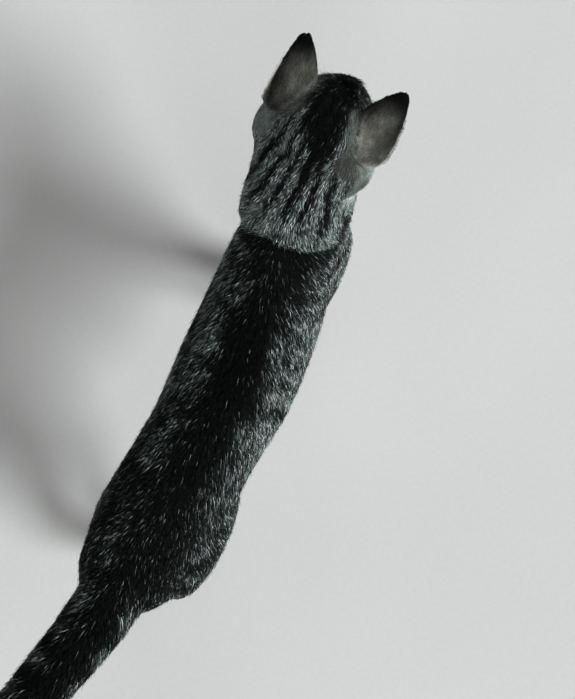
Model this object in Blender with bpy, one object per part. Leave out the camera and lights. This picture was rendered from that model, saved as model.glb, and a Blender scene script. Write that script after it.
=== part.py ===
"""A slim short-haired tabby cat, standing, life size.  Metres, +Z up, the cat faces -Y.

The body is lofted from named stations and rounded masses, fused into one form that is as
large as the tips of the coat, and then parted into the pieces that a person would name.
Tables and the dimensions in them are in millimetres.
"""

import math

import bmesh
import bpy
from mathutils import Matrix, Vector

MM = 0.001
LEFT, RIGHT = 1, -1         # the sign of each side along X

# ---- how the body is fused and parted ------------------------------------------------
JOINT_GAP = 0.4             # the thin cut between two neighbouring pieces
SEAT_GAP = 0.35             # the clearance around an eye, the nose leather and an ear
VOXEL = 1.9                 # grain of the fused body before it is thinned out
FUSE_SMOOTHING = 4          # rounds that melt the fused masses into one another
HEAD_TRIANGLES = 1640       # triangles of the head, before its features are seated
BODY_TRIANGLES = 1660       # triangles of everything behind the head, before it is parted
THINNING_OVERLAP = 5        # how far head and body reach past their cut while they are thinned
SHARP_ANGLE = 50            # edges steeper than this stay crisp
RING_SIDES = 28             # corners of each lofted cross-section
STEPS = 5                   # rings made between two stations of the trunk
LEG_STEPS = 4               # and of a leg
EAR_STEPS = 2               # and of an ear
ROUNDNESS = 2.15            # superellipse power of a cross-section: 2 is an ellipse

# ---- how the head is carried ----------------------------------------------------------
SKULL_CENTRE = Vector((8, -148, 266)) * MM
HEAD_PITCH = 29             # degrees that the face looks down
HEAD_YAW = 2                # degrees that it looks to the cat's right
HEAD_LEAN = 7               # degrees that the crown leans to the cat's right

# ---- eyes, in the head's own axes: forward, left, up ----------------------------------
EYE_PLACE = (18.5, 19.5, 2.5)
EYE_RADIUS = 10.5
EYE_OUTWARD = 17            # degrees that each eye looks outward
EYE_UPWARD = 5
LID_DEPTH = 2.2             # how far the closed form stands over the eyeball
EYE_OPENING = (8.6, 6.3)    # half width and half height between the lids
EYE_SLANT = 14              # degrees that the outer corner is raised
LID_CORNERS = 20            # corners of the opening between the lids

NOSE_PLACE = (48, 0, -5.5)
NOSE_RADII = (3.8, 6.8, 4.6)

# ---- ears -----------------------------------------------------------------------------
EAR_ROOT = (-12, 30.5, 9)     # where the cup's axis starts, inside the head
EAR_LENGTH = 58
EAR_SPREAD = 10             # degrees that the axis leans outward
EAR_FORWARD = 4             # degrees that it leans forward
EAR_FACING = {LEFT: 42, RIGHT: 16}   # degrees that the opening is turned outward
EAR_THICKNESS = 2.4
EAR_COLUMNS = 8             # corners across an ear
#             height  half width  opening angle  setback  (height and setback in parts of the length)
EAR_FORM = (
    (0.00, 18.0, 100, 0.00),
    (0.15, 18.2, 94, 0.00),
    (0.30, 17.2, 84, 0.01),
    (0.50, 14.8, 70, 0.02),
    (0.70, 11.4, 56, 0.03),
    (0.86, 7.7, 44, 0.035),
    (0.95, 4.8, 36, 0.03),
    (1.00, 2.0, 30, 0.02),
)


def head_frame():
    """The matrix from head axes (forward, left, up) to the model's axes."""
    yaw, pitch, lean = (math.radians(a) for a in (HEAD_YAW, HEAD_PITCH, HEAD_LEAN))
    level = Vector((-math.sin(yaw), -math.cos(yaw), 0))
    forward = level * math.cos(pitch) - Vector((0, 0, math.sin(pitch)))
    left = Vector((math.cos(yaw), -math.sin(yaw), 0))
    left = Matrix.Rotation(lean, 3, forward) @ left
    rotation = Matrix((forward, left, forward.cross(left))).transposed()
    return Matrix.Translation(SKULL_CENTRE) @ rotation.to_4x4()


HEAD = head_frame()
HEAD_TURN = HEAD.to_3x3().to_4x4()


def in_head(forward, left, up):
    """A point given in millimetres along the head's own axes."""
    return HEAD @ (Vector((forward, left, up)) * MM)


# ---- shape helpers --------------------------------------------------------------------
def catmull_rom(before, start, end, after, t):
    """One value on the smooth curve through start and end."""
    return 0.5 * (
        2 * start
        + (end - before) * t
        + (2 * before - 5 * start + 4 * end - after) * t * t
        + (3 * start - before - 3 * end + after) * t * t * t
    )


def smooth_rows(rows, steps=STEPS):
    """Rows of numbers, filled in between by a smooth curve through each column."""
    padded = [rows[0], *rows, rows[-1]]
    filled = []
    for i in range(1, len(padded) - 2):
        for step in range(steps):
            corners = padded[i - 1], padded[i], padded[i + 1], padded[i + 2]
            filled.append([catmull_rom(*values, step / steps) for values in zip(*corners)])
    return filled + [list(rows[-1])]


def signed_power(value, power):
    return math.copysign(abs(value) ** power, value)


def add_rings(bm, rings):
    """Skins a list of rings of points and closes both ends with a fan."""
    loops = [[bm.verts.new(point) for point in ring] for ring in rings]
    count = len(loops[0])
    for lower, upper in zip(loops, loops[1:]):
        for i in range(count):
            j = (i + 1) % count
            bm.faces.new((lower[i], lower[j], upper[j], upper[i]))
    for loop, flip in ((loops[0], True), (loops[-1], False)):
        hub = bm.verts.new(sum((v.co for v in loop), Vector()) / count)
        for i in range(count):
            a, b = loop[i], loop[(i + 1) % count]
            bm.faces.new((b, a, hub) if flip else (a, b, hub))


def add_loft(bm, rows, side_hint=Vector((1, 0, 0)), sides=RING_SIDES, steps=STEPS):
    """A tube through rows of (x, y, z, half width, reach one way, reach the other).

    Each ring stands square to the path.  Its width lies along side_hint and its two
    reaches lie to either side of that, so that a section can be deeper below than above.
    """
    rows = smooth_rows(rows, steps)
    centres = [Vector(row[:3]) * MM for row in rows]
    rings = []
    for i, row in enumerate(rows):
        along = (centres[min(i + 1, len(rows) - 1)] - centres[max(i - 1, 0)]).normalized()
        side = (side_hint - along * side_hint.dot(along)).normalized()
        other = along.cross(side)
        half, reach, back = (max(value, 0.6) * MM for value in row[3:6])
        ring = []
        for k in range(sides):
            angle = 2 * math.pi * k / sides
            across = signed_power(math.cos(angle), 2 / ROUNDNESS) * half
            lift = signed_power(math.sin(angle), 2 / ROUNDNESS)
            lift *= reach if lift > 0 else back
            ring.append(centres[i] + side * across + other * lift)
        rings.append(ring)
    add_rings(bm, rings)


def add_ellipsoid(bm, centre, radii, turn=None, fineness=3):
    """A rounded mass: centre in metres, radii in millimetres along the axes of turn."""
    placed = Matrix.Translation(centre) @ (turn or Matrix.Identity(4))
    size = Matrix.Diagonal((*[r * MM for r in radii], 1))
    bmesh.ops.create_icosphere(bm, subdivisions=fineness, radius=1, matrix=placed @ size)


def add_head_mass(bm, forward, left, up, radii):
    """An ellipsoid set in the head's own axes."""
    add_ellipsoid(bm, in_head(forward, left, up), radii, HEAD_TURN)


def object_from(bm, name):
    bmesh.ops.recalc_face_normals(bm, faces=bm.faces)
    mesh = bpy.data.meshes.new(name)
    bm.to_mesh(mesh)
    bm.free()
    obj = bpy.data.objects.new(name, mesh)
    bpy.context.scene.collection.objects.link(obj)
    return obj


def settle(obj):
    """Bakes an object's modifiers into its mesh."""
    bpy.context.view_layer.update()
    graph = bpy.context.evaluated_depsgraph_get()
    mesh = bpy.data.meshes.new_from_object(obj.evaluated_get(graph))
    obj.modifiers.clear()
    obj.data = mesh
    return obj


def discard(*objects):
    for obj in objects:
        bpy.data.objects.remove(obj, do_unlink=True)


# ---- trunk, neck and tail -------------------------------------------------------------
#                 y     x   top  widest bottom half width
TRUNK = {
    "breast":   (-126, 7, 206, 182, 160, 13),
    "shoulder": (-108, 7, 224, 180, 134, 32),
    "withers":  (-78, 6, 236, 181, 119, 41),
    "ribs":     (-20, 1, 236, 179, 114, 46.5),
    "last_rib": (35, -2, 234, 182, 120, 47.5),
    "waist":    (85, -1, 235, 186, 136, 43.5),
    "hips":     (140, 2, 238, 190, 148, 44),
    "rump":     (182, 5, 232, 192, 156, 41),
    "croup":    (208, 10, 221, 196, 170, 33),
    "dock":     (226, 12, 213, 204, 192, 15),
}

#                 x     y    z   half width, up, down
NECK = {
    "root":     (5, -56, 186, 30, 44, 46),
    "collar":   (8, -84, 203, 38, 41, 52),
    "nape":     (9.5, -110, 229, 41.5, 38, 44),
    "occiput":  (10.5, -131, 251, 42, 35, 37),
    "skull":    (9, -147, 266, 27, 24, 26),
}

#                 x     y    z   half width, up, down
TAIL = {
    "hidden":   (3, 188, 202, 17, 16, 16),
    "root":     (6, 212, 204, 24, 21, 21),
    "base":     (11, 244, 209, 23.5, 21.5, 21.5),
    "rise":     (20, 284, 218, 21, 20, 20),
    "crest":    (32, 330, 220, 19, 18.5, 18.5),
    "droop":    (46, 376, 204, 17, 17, 17),
    "fall":     (58, 414, 178, 15.5, 15.5, 15.5),
    "end":      (68, 446, 159, 13.5, 13.5, 13.5),
    "curl":     (73, 466, 153, 10.5, 10.5, 10.5),
    "tip":      (76, 477, 153, 2, 2, 2),
}


def add_torso(bm):
    rows = []
    for y, x, top, widest, bottom, half in TRUNK.values():
        # Going back along +Y, a ring's first reach is the one that points down.
        rows.append((x, y, widest, half, widest - bottom, top - widest))
    add_loft(bm, rows)
    add_loft(bm, list(NECK.values()))
    tail = [(x, y, z, half, down, up) for x, y, z, half, up, down in TAIL.values()]
    add_loft(bm, tail)


# ---- head -----------------------------------------------------------------------------
#                    forward  up  half width, depth above, depth below
NOSE_BRIDGE = {
    "forehead": (8, 19, 13, 12),
    "between":  (24, 14, 11, 11),
    "bridge":   (38, 5.5, 8.5, 9.5),
    "tip":      (47, -1.5, 7, 7),
}


def add_skull(bm):
    """The head's masses, in the head's own axes: forward, left, up."""
    add_head_mass(bm, -8, 0, 8, (38, 35, 30))          # braincase
    add_head_mass(bm, 12, 0, 12, (25, 25, 20))         # forehead
    add_head_mass(bm, 16, 0, -11, (28, 28, 18))        # face behind the muzzle
    add_head_mass(bm, 33, 0, -12, (16, 17, 11.5))      # muzzle
    add_head_mass(bm, 34.5, 0, -25, (11, 10.5, 8.5))   # chin
    add_head_mass(bm, 12, 0, -22, (27, 21, 12))        # lower jaw
    for side in (LEFT, RIGHT):
        add_head_mass(bm, 0, side * 24.5, -8, (26, 22, 24))        # cheek
        add_head_mass(bm, 15, side * 25, -9, (15, 14, 13))         # cheekbone
        add_head_mass(bm, 16, side * 17, 12, (12, 14, 10))         # brow
        add_head_mass(bm, 39, side * 8.8, -12.5, (10.5, 10.5, 9.5))  # whisker pad
        add_head_mass(bm, -9, side * 27, 10, (18, 15, 17))         # swelling under the ear
        add_head_mass(bm, -14, side * 30.5, -10, (18, 19, 24))     # ruff behind the cheek
        lid = [EYE_RADIUS + LID_DEPTH] * 3
        add_head_mass(bm, EYE_PLACE[0], side * EYE_PLACE[1], EYE_PLACE[2], lid)
    rows = []
    for forward, up, half, deep in NOSE_BRIDGE.values():
        rows.append((*(in_head(forward, 0, up - deep * 0.4) / MM), half, deep, deep))
    add_loft(bm, rows, side_hint=HEAD.to_3x3() @ Vector((0, 1, 0)))


# ---- legs -----------------------------------------------------------------------------
# Each leg is a stack of level sections.  Front and back run along +Y from the limb's line.
#                  z   out  front back  half width
FORELEG = {
    "blade":      (212, 26, -16, 14, 8),
    "crest":      (196, 27.5, -32, 14, 13),
    "shoulder":   (178, 28.5, -40, 14, 15),
    "upper_arm":  (160, 29.5, -34, 18, 15.5),
    "triceps":    (146, 29.5, -24, 24, 15.5),
    "elbow":      (131, 29, -15, 29, 14.5),
    "below":      (121, 28.5, -11, 27, 13.5),
    "forearm":    (106, 28, -9, 22, 12.6),
    "middle":     (90, 27.5, -8, 18, 11.8),
    "shin":       (76, 27, -7.5, 16.5, 11.3),
    "wrist":      (48, 26, -9, 14.5, 11.2),
    "pastern":    (30, 26, -13, 13, 11.8),
    "paw":        (12, 26, -22, 9, 12.5),
}
HINDLEG = {
    "hip":        (214, 22, -38, 12, 13),
    "buttock":    (196, 26, -56, 27, 18),
    "haunch":     (178, 29, -63, 30, 19),
    "thigh":      (160, 29, -69, 24, 18.5),
    "stifle":     (142, 28.5, -72, 10, 17),
    "knee":       (128, 28, -71, 0, 16.5),
    "hollow":     (114, 28, -60, -4, 15),
    "calf":       (100, 27.5, -43, 5, 13.3),
    "shank":      (86, 27, -25, 16, 12),
    "tendon":     (74, 27, -7, 27, 11),
    "hock":       (65, 27, 4, 34.5, 10.8),
    "heel":       (56, 27, 8, 34.5, 10.6),
    "metatarsus": (42, 27, 5, 29, 10.4),
    "instep":     (29, 27, -3, 22, 11),
    "paw":        (12, 27, -16, 15, 12.3),
}
PAW_LENGTH, PAW_WIDTH, PAW_HEIGHT = 39, 28.5, 25
SOLE_DEPTH = 1.3            # how much of each paw the floor flattens
TOE_PLACES = (-0.36, -0.13, 0.13, 0.36)   # across the paw, in parts of its width

# The limb's line at its top, how far its foot is carried back from it and in towards the
# midline, how far its haunch stands out, and the paw's middle.
LIMBS = {
    "foreleg_left": {
        "form": FORELEG, "side": LEFT, "line": -78, "swing": -14, "inward": 0, "haunch": 0, "paw": -8,
    },
    "foreleg_right": {
        "form": FORELEG, "side": RIGHT, "line": -78, "swing": 18, "inward": 6, "haunch": 0, "paw": -8,
    },
    "hindleg_left": {
        "form": HINDLEG, "side": LEFT, "line": 172, "swing": 14, "inward": 0, "haunch": 0, "paw": -1,
    },
    "hindleg_right": {
        "form": HINDLEG, "side": RIGHT, "line": 172, "swing": -16, "inward": 6, "haunch": 4.6, "paw": -1,
    },
}
LIMB_MIDLINE = 3            # the feet's middle, a little to the cat's left of the frame's
SWING_TOP = 190             # height above which a limb does not swing
HAUNCH_HEIGHT = 170         # where a haunch stands out most
HAUNCH_SPAN = 50            # and how far above and below that it still does


def swing_share(z):
    """How much of a foot's swing is reached at a height: none at the top, all at the floor."""
    t = min(max(1 - z / SWING_TOP, 0), 1)
    return t * t * (3 - 2 * t)


def limb_point(limb, back, z):
    return limb["line"] + back + limb["swing"] * swing_share(z)


def haunch_share(z):
    """How much of a haunch's bulge is reached at a height."""
    return max(1 - ((z - HAUNCH_HEIGHT) / HAUNCH_SPAN) ** 2, 0)


def limb_side(limb, out, z):
    carried = limb["haunch"] * haunch_share(z) - limb["inward"] * swing_share(z)
    return limb["side"] * (out + carried) + LIMB_MIDLINE


def station_point(limb, station):
    """The middle of a limb's section, in millimetres."""
    z, out, front, back, _ = limb["form"][station]
    return Vector((limb_side(limb, out, z), limb_point(limb, (front + back) / 2, z), z))


def add_paw(bm, out, y):
    """A rounded foot with four toes, a little below the floor so that it can be flattened."""
    middle = PAW_HEIGHT / 2 - SOLE_DEPTH
    centre = Vector((out, y - PAW_LENGTH * 0.10, middle)) * MM
    add_ellipsoid(bm, centre, (PAW_WIDTH * 0.47, PAW_LENGTH * 0.42, PAW_HEIGHT / 2))
    for place in TOE_PLACES:
        reach = PAW_LENGTH * (0.40 if abs(place) < 0.2 else 0.28)
        toe = Vector((out + place * PAW_WIDTH, y - reach, middle * 0.86)) * MM
        add_ellipsoid(bm, toe, (4.3, 9.5, middle * 0.86 + SOLE_DEPTH))


def add_leg(bm, limb):
    """Skins the level sections of one leg."""
    rings = []
    for z, out, front, back, half in smooth_rows(list(limb["form"].values()), LEG_STEPS):
        middle, reach = (front + back) / 2, (back - front) / 2
        centre = Vector((limb_side(limb, out, z), limb_point(limb, middle, z), z))
        ring = []
        for k in range(RING_SIDES):
            angle = 2 * math.pi * k / RING_SIDES
            across = signed_power(math.cos(angle), 2 / ROUNDNESS) * half
            along = signed_power(math.sin(angle), 2 / ROUNDNESS) * reach
            ring.append((centre + Vector((across, along, 0))) * MM)
        rings.append(ring)
    add_rings(bm, rings)


def add_legs(bm):
    for limb in LIMBS.values():
        add_leg(bm, limb)
        z, out, *_ = limb["form"]["paw"]
        add_paw(bm, limb_side(limb, out, z), limb_point(limb, limb["paw"], z))


def fused_body():
    """Trunk, head, legs and tail melted into one closed form."""
    bm = bmesh.new()
    add_torso(bm)
    add_skull(bm)
    add_legs(bm)
    body = object_from(bm, "body")
    grain = body.modifiers.new("fuse", "REMESH")
    grain.mode = "VOXEL"
    grain.voxel_size = VOXEL * MM
    melt = body.modifiers.new("melt", "SMOOTH")
    melt.factor = 0.5
    melt.iterations = FUSE_SMOOTHING
    return settle(body)


def thinned(obj, count):
    """Collapses the mesh to about count triangles, where it is flattest first."""
    thin = obj.modifiers.new("thin", "DECIMATE")
    triangles = sum(len(face.vertices) - 2 for face in obj.data.polygons)
    thin.ratio = count / triangles
    thin.use_collapse_triangulate = True
    return settle(obj)


# ---- ears -----------------------------------------------------------------------------
def ear_axes(side):
    """Origin, axis, opening direction and outward direction of one ear, in model axes."""
    spread, lean = math.radians(EAR_SPREAD) * side, math.radians(EAR_FORWARD)
    axis = Vector((math.sin(lean), math.sin(spread), math.cos(spread) * math.cos(lean))).normalized()
    turn = math.radians(EAR_FACING[side]) * side
    facing = Vector((math.cos(turn), math.sin(turn), 0))
    facing = (facing - axis * facing.dot(axis)).normalized()
    outward = axis.cross(facing) * side
    root = Vector((EAR_ROOT[0], side * EAR_ROOT[1], EAR_ROOT[2])) * MM
    return [HEAD @ root] + [HEAD.to_3x3() @ v for v in (axis, facing, outward)]


def ear_solid(side):
    """A cupped leaf: an arc at each height, wide at the root and nearly flat at the tip."""
    origin, axis, facing, outward = ear_axes(side)
    rows = smooth_rows(EAR_FORM, EAR_STEPS)
    bm = bmesh.new()
    skins = []
    for layer in (0.0, 1.0):
        grid = []
        for height, half, opening, setback in rows:
            angle = math.radians(opening)
            radius = half / math.sin(min(angle, math.pi / 2)) + EAR_THICKNESS * (0.5 - layer)
            rim = radius * max(math.cos(angle), 0)
            line = []
            for column in range(EAR_COLUMNS):
                around = angle * (2 * column / (EAR_COLUMNS - 1) - 1)
                across = radius * math.sin(around)
                deep = rim - radius * math.cos(around) - setback * EAR_LENGTH
                point = axis * height * EAR_LENGTH + outward * across + facing * deep
                line.append(bm.verts.new(origin + point * MM))
            grid.append(line)
        skins.append(grid)
    outer, inner = skins
    last_row, last_column = len(rows) - 1, EAR_COLUMNS - 1
    for i in range(last_row):
        for j in range(last_column):
            bm.faces.new((outer[i][j], outer[i][j + 1], outer[i + 1][j + 1], outer[i + 1][j]))
            bm.faces.new((inner[i][j], inner[i + 1][j], inner[i + 1][j + 1], inner[i][j + 1]))
        for j in (0, last_column):
            bm.faces.new((outer[i][j], outer[i + 1][j], inner[i + 1][j], inner[i][j]))
    for j in range(last_column):
        for i in (0, last_row):
            bm.faces.new((outer[i][j], outer[i][j + 1], inner[i][j + 1], inner[i][j]))
    return object_from(bm, "ear")


# ---- parting --------------------------------------------------------------------------
# A leg leaves the trunk through a doorway: an arch seen from the side, cut from the flank
# inwards.  It has a spring line (z), a half length (y) and a middle (y) at the floor and at
# the spring line, and its inner plane leans away from the midline by slope.
ARCHES = {
    "foreleg": {"spring": 172, "half": 37, "foot": -88, "top": -92, "slope": 0.100},
    "hindleg": {"spring": 166, "half": 50, "foot": 160, "top": 156, "slope": 0.075},
}
ARCH_STEPS = 14
ARCH_INSET = 1.5            # from the midline to the inner plane, at the floor
DOOR_FOOT = 40              # height at which a doorway's sides start to lean
REACH = 90                  # how far a cutting solid goes past the body


def arch_solid(kind, limb, grow):
    """A doorway-shaped prism that holds one leg, grown all round when the trunk is cut."""
    arch = ARCHES[kind]
    half = arch["half"] + grow
    foot_y, top_y, spring = arch["foot"] + 0.5 * limb["swing"], arch["top"], arch["spring"]
    outline = [(foot_y - half, -REACH), (foot_y - half, DOOR_FOOT), (top_y - half, spring)]
    for step in range(1, ARCH_STEPS):
        angle = math.pi * (1 - step / ARCH_STEPS)
        outline.append((top_y + half * math.cos(angle), spring + half * math.sin(angle)))
    outline += [(top_y + half, spring), (foot_y + half, DOOR_FOOT), (foot_y + half, -REACH)]
    bm = bmesh.new()
    caps = []
    for outward in (False, True):
        cap = []
        for y, z in outline:
            inner = ARCH_INSET + arch["slope"] * max(z, 0) - grow
            x = LIMB_MIDLINE + limb["side"] * (REACH if outward else inner)
            cap.append(bm.verts.new(Vector((x, y, z)) * MM))
        caps.append(cap)
    count = len(outline)
    near, far = caps
    for i in range(count):
        j = (i + 1) % count
        bm.faces.new((near[i], near[j], far[j]))
        bm.faces.new((near[i], far[j], far[i]))
    crown = ARCH_STEPS // 2 + 2
    for cap in caps:
        hub = bm.verts.new((cap[0].co + cap[-1].co + cap[crown].co) / 3)
        for i in range(count):
            bm.faces.new((cap[i], cap[(i + 1) % count], hub))
    return object_from(bm, "arch")


def boolean(obj, tool, operation):
    step = obj.modifiers.new(operation.lower(), "BOOLEAN")
    step.operation = operation
    step.solver = "EXACT"
    step.object = tool
    return settle(obj)


def copy_of(obj, name):
    twin = bpy.data.objects.new(name, obj.data.copy())
    bpy.context.scene.collection.objects.link(twin)
    return twin


def keep_largest(obj):
    """Drops stray crumbs that a cut has left beside the piece."""
    bm = bmesh.new()
    bm.from_mesh(obj.data)
    unseen, islands = set(bm.verts), []
    while unseen:
        island, front = set(), [unseen.pop()]
        while front:
            vertex = front.pop()
            island.add(vertex)
            for edge in vertex.link_edges:
                other = edge.other_vert(vertex)
                if other in unseen:
                    unseen.discard(other)
                    front.append(other)
        islands.append(island)
    islands.sort(key=len)
    crumbs = [v for island in islands[:-1] for v in island]
    bmesh.ops.delete(bm, geom=crumbs, context="VERTS")
    bm.to_mesh(obj.data)
    bm.free()
    return obj


def tidy_mesh(obj):
    """Triangles only, without slivers, all facing out."""
    bm = bmesh.new()
    bm.from_mesh(obj.data)
    bmesh.ops.remove_doubles(bm, verts=bm.verts, dist=0.00002)
    bmesh.ops.dissolve_degenerate(bm, edges=bm.edges, dist=0.00001)
    bmesh.ops.triangulate(bm, faces=bm.faces)
    bmesh.ops.recalc_face_normals(bm, faces=bm.faces)
    bm.to_mesh(obj.data)
    bm.free()
    return obj


def half_of(obj, point, normal, name):
    """The side of obj that normal points away from, closed again along the cut."""
    piece = copy_of(obj, name)
    bm = bmesh.new()
    bm.from_mesh(piece.data)
    geometry = [*bm.verts, *bm.edges, *bm.faces]
    cut = bmesh.ops.bisect_plane(
        bm, geom=geometry, dist=0.0000005, plane_co=point, plane_no=normal, clear_outer=True
    )
    rim = [e for e in cut["geom_cut"] if isinstance(e, bmesh.types.BMEdge) and e.is_boundary]
    bmesh.ops.holes_fill(bm, edges=rim)
    bm.to_mesh(piece.data)
    bm.free()
    return piece


def slice_off(obj, point, normal, name):
    """Parts obj with a thin planar cut and returns what lies on the side of normal."""
    point, normal = Vector(point) * MM, Vector(normal).normalized()
    shift = normal * (JOINT_GAP * 0.5 * MM)
    beyond = half_of(obj, point + shift, -normal, name)
    rest = half_of(obj, point - shift, normal, obj.name + "_rest")
    obj.data = rest.data
    discard(rest)
    return beyond


#            the piece, the station of its upper joint, and for a cut: its drop and its way down
LEG_JOINTS = {
    "foreleg": (
        ("upper_arm", "shoulder"),
        ("forearm", "elbow", -6, (0, 0.30, -1)),
        ("fore_paw", "wrist", -4, (0, -0.12, -1)),
    ),
    "hindleg": (
        ("thigh", "haunch"),
        ("shank", "hollow", 2, (0, 0.75, -1)),
        ("hind_paw", "hock", -2, (0, -0.45, -1)),
    ),
}


def part_legs(body):
    """Lifts each leg out of the trunk and cuts it at its two joints."""
    pieces = []
    for name, limb in LIMBS.items():
        kind, tag = name.split("_")
        door = arch_solid(kind, limb, 0.0)
        leg = copy_of(body, name)
        boolean(leg, door, "INTERSECT")
        keep_largest(leg)
        wide_door = arch_solid(kind, limb, JOINT_GAP)
        boolean(body, wide_door, "DIFFERENCE")
        keep_largest(body)
        discard(door, wide_door)
        floor_cut = half_of(leg, Vector((0, 0, 0)), Vector((0, 0, -1)), "standing")
        leg.data = floor_cut.data
        discard(floor_cut)
        (upper, *_), *lower_joints = LEG_JOINTS[kind]
        cut_off = []
        for lower, station, drop, normal in reversed(lower_joints):
            point = station_point(limb, station) + Vector((0, 0, drop))
            cut_off.append(slice_off(leg, point, normal, f"{lower}_{tag}"))
        leg.name = f"{upper}_{tag}"
        pieces += [leg, *cut_off]
    return pieces


#            name of what is cut off, a point of the cut, and the way to the piece cut off
HEAD_CUT = ((10, -121, 243), (0.0, -0.76, 0.65))
TRUNK_CUTS = (
    ("tail_tip", (36, 348, 217), (0.34, 0.90, -0.28)),
    ("tail_middle", (15, 262, 213), (0.24, 0.95, 0.20)),
    ("tail_base", (9, 216, 204), (0.15, 0.98, 0.15)),
    ("neck", (8, -84, 222), (0.0, -0.84, 0.54)),
    ("chest", (0, 12, 180), (0, -1, 0)),
    ("abdomen", (0, 116, 180), (0, -1, 0)),
)


def part_trunk(body):
    pieces = [slice_off(body, point, normal, name) for name, point, normal in TRUNK_CUTS]
    body.name = "rump"
    return [*pieces, body]


# ---- ears, eyes and nose leather --------------------------------------------------------
def grown_copy(obj, distance, name):
    """A copy pushed out along its own corners, for cutting a clearance."""
    twin = copy_of(obj, name)
    bm = bmesh.new()
    bm.from_mesh(twin.data)
    bm.normal_update()
    for vertex, normal in [(v, v.normal.copy()) for v in bm.verts]:
        vertex.co += normal * distance * MM
    bm.to_mesh(twin.data)
    bm.free()
    return twin


def eye_turn(side):
    """The matrix of one eye: its gaze, its left and its up, in model axes."""
    outward, upward = math.radians(EYE_OUTWARD) * side, math.radians(EYE_UPWARD)
    turn = Matrix.Rotation(outward, 4, "Z") @ Matrix.Rotation(-upward, 4, "Y")
    return HEAD_TURN @ turn


def ball(centre, radii, turn, name, fineness=2):
    bm = bmesh.new()
    add_ellipsoid(bm, centre, radii, turn, fineness)
    return object_from(bm, name)


def lid_opening(side, centre, turn):
    """An almond-shaped plug along the gaze: what is left open between the lids."""
    half_width, half_height = EYE_OPENING
    slant = math.radians(EYE_SLANT) * side
    bm = bmesh.new()
    rings = []
    for depth in (0.0, EYE_RADIUS * 2):
        ring = []
        for k in range(LID_CORNERS):
            angle = 2 * math.pi * k / LID_CORNERS
            across = math.cos(angle) * half_width
            lift = math.sin(angle) * abs(math.sin(angle)) ** 0.25 * half_height
            left = across * math.cos(slant) - lift * math.sin(slant)
            up = across * math.sin(slant) + lift * math.cos(slant)
            ring.append(centre + turn.to_3x3() @ (Vector((depth, left, up)) * MM))
        rings.append(ring)
    add_rings(bm, rings)
    return object_from(bm, "opening")


def seat_features(head):
    """Sinks the eyes and the nose leather into the head, and seats the ears on it."""
    pieces = []
    for side, tag in ((LEFT, "left"), (RIGHT, "right")):
        turn = eye_turn(side)
        centre = in_head(EYE_PLACE[0], side * EYE_PLACE[1], EYE_PLACE[2])
        socket = ball(centre, [EYE_RADIUS + SEAT_GAP] * 3, turn, "socket", 3)
        opening = lid_opening(side, centre, turn)
        for tool in (socket, opening):
            boolean(head, tool, "DIFFERENCE")
        discard(socket, opening)
        pieces.append(ball(centre, [EYE_RADIUS] * 3, turn, f"eye_{tag}", 3))
    nose = in_head(*NOSE_PLACE)
    seat = ball(nose, [r + SEAT_GAP for r in NOSE_RADII], HEAD_TURN, "seat")
    boolean(head, seat, "DIFFERENCE")
    discard(seat)
    pieces.append(ball(nose, NOSE_RADII, HEAD_TURN, "nose"))
    keep_largest(head)
    return pieces


def seat_ears(head_form):
    """Ears that end where the head's own form begins."""
    ears = []
    for side, tag in ((LEFT, "left"), (RIGHT, "right")):
        ear = ear_solid(side)
        ear.name = f"ear_{tag}"
        boolean(ear, head_form, "DIFFERENCE")
        ears.append(keep_largest(ear))
    return ears


# ---- materials, origins and the whole cat -------------------------------------------------
#             base colour, roughness
FINISHES = {
    "tabby_coat": ((0.115, 0.112, 0.104), 0.62),
    "ear_coat": ((0.150, 0.140, 0.125), 0.60),
    "eye_glass": ((0.290, 0.300, 0.080), 0.08),
    "nose_leather": ((0.130, 0.045, 0.038), 0.45),
}

CHEST_ORIGIN = (6, -60, 205)     # between the shoulder blades
RUMP_ORIGIN = (2, 116, 205)      # where the back meets the hips


def finish_of(name):
    if name.startswith("eye"):
        return "eye_glass"
    if name.startswith("ear"):
        return "ear_coat"
    return "nose_leather" if name == "nose" else "tabby_coat"


def material(name):
    """One Principled material for each finish."""
    found = bpy.data.materials.get(name)
    if found:
        return found
    made = bpy.data.materials.new(name)
    made.use_nodes = True
    colour, roughness = FINISHES[name]
    shader = made.node_tree.nodes["Principled BSDF"]
    shader.inputs["Base Color"].default_value = (*colour, 1)
    shader.inputs["Roughness"].default_value = roughness
    shader.inputs["Metallic"].default_value = 0
    return made


def trunk_origins():
    """Each piece of the trunk hangs from its own cut, apart from the chest and the rump."""
    places = {name: point for name, point, _ in TRUNK_CUTS}
    return {**places, "head": HEAD_CUT[0], "chest": CHEST_ORIGIN, "rump": RUMP_ORIGIN}


def limb_origins():
    """Shoulder or hip, elbow or knee, and wrist or hock, as each leg's pieces are named."""
    places = {}
    for name, limb in LIMBS.items():
        kind, tag = name.split("_")
        for piece, station, *_ in LEG_JOINTS[kind]:
            places[f"{piece}_{tag}"] = station_point(limb, station)
    return places


def feature_origins():
    places = {"nose": in_head(*NOSE_PLACE) / MM}
    for side, tag in ((LEFT, "left"), (RIGHT, "right")):
        places[f"eye_{tag}"] = in_head(EYE_PLACE[0], side * EYE_PLACE[1], EYE_PLACE[2]) / MM
        places[f"ear_{tag}"] = in_head(EAR_ROOT[0], side * EAR_ROOT[1], EAR_ROOT[2]) / MM
    return places


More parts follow.
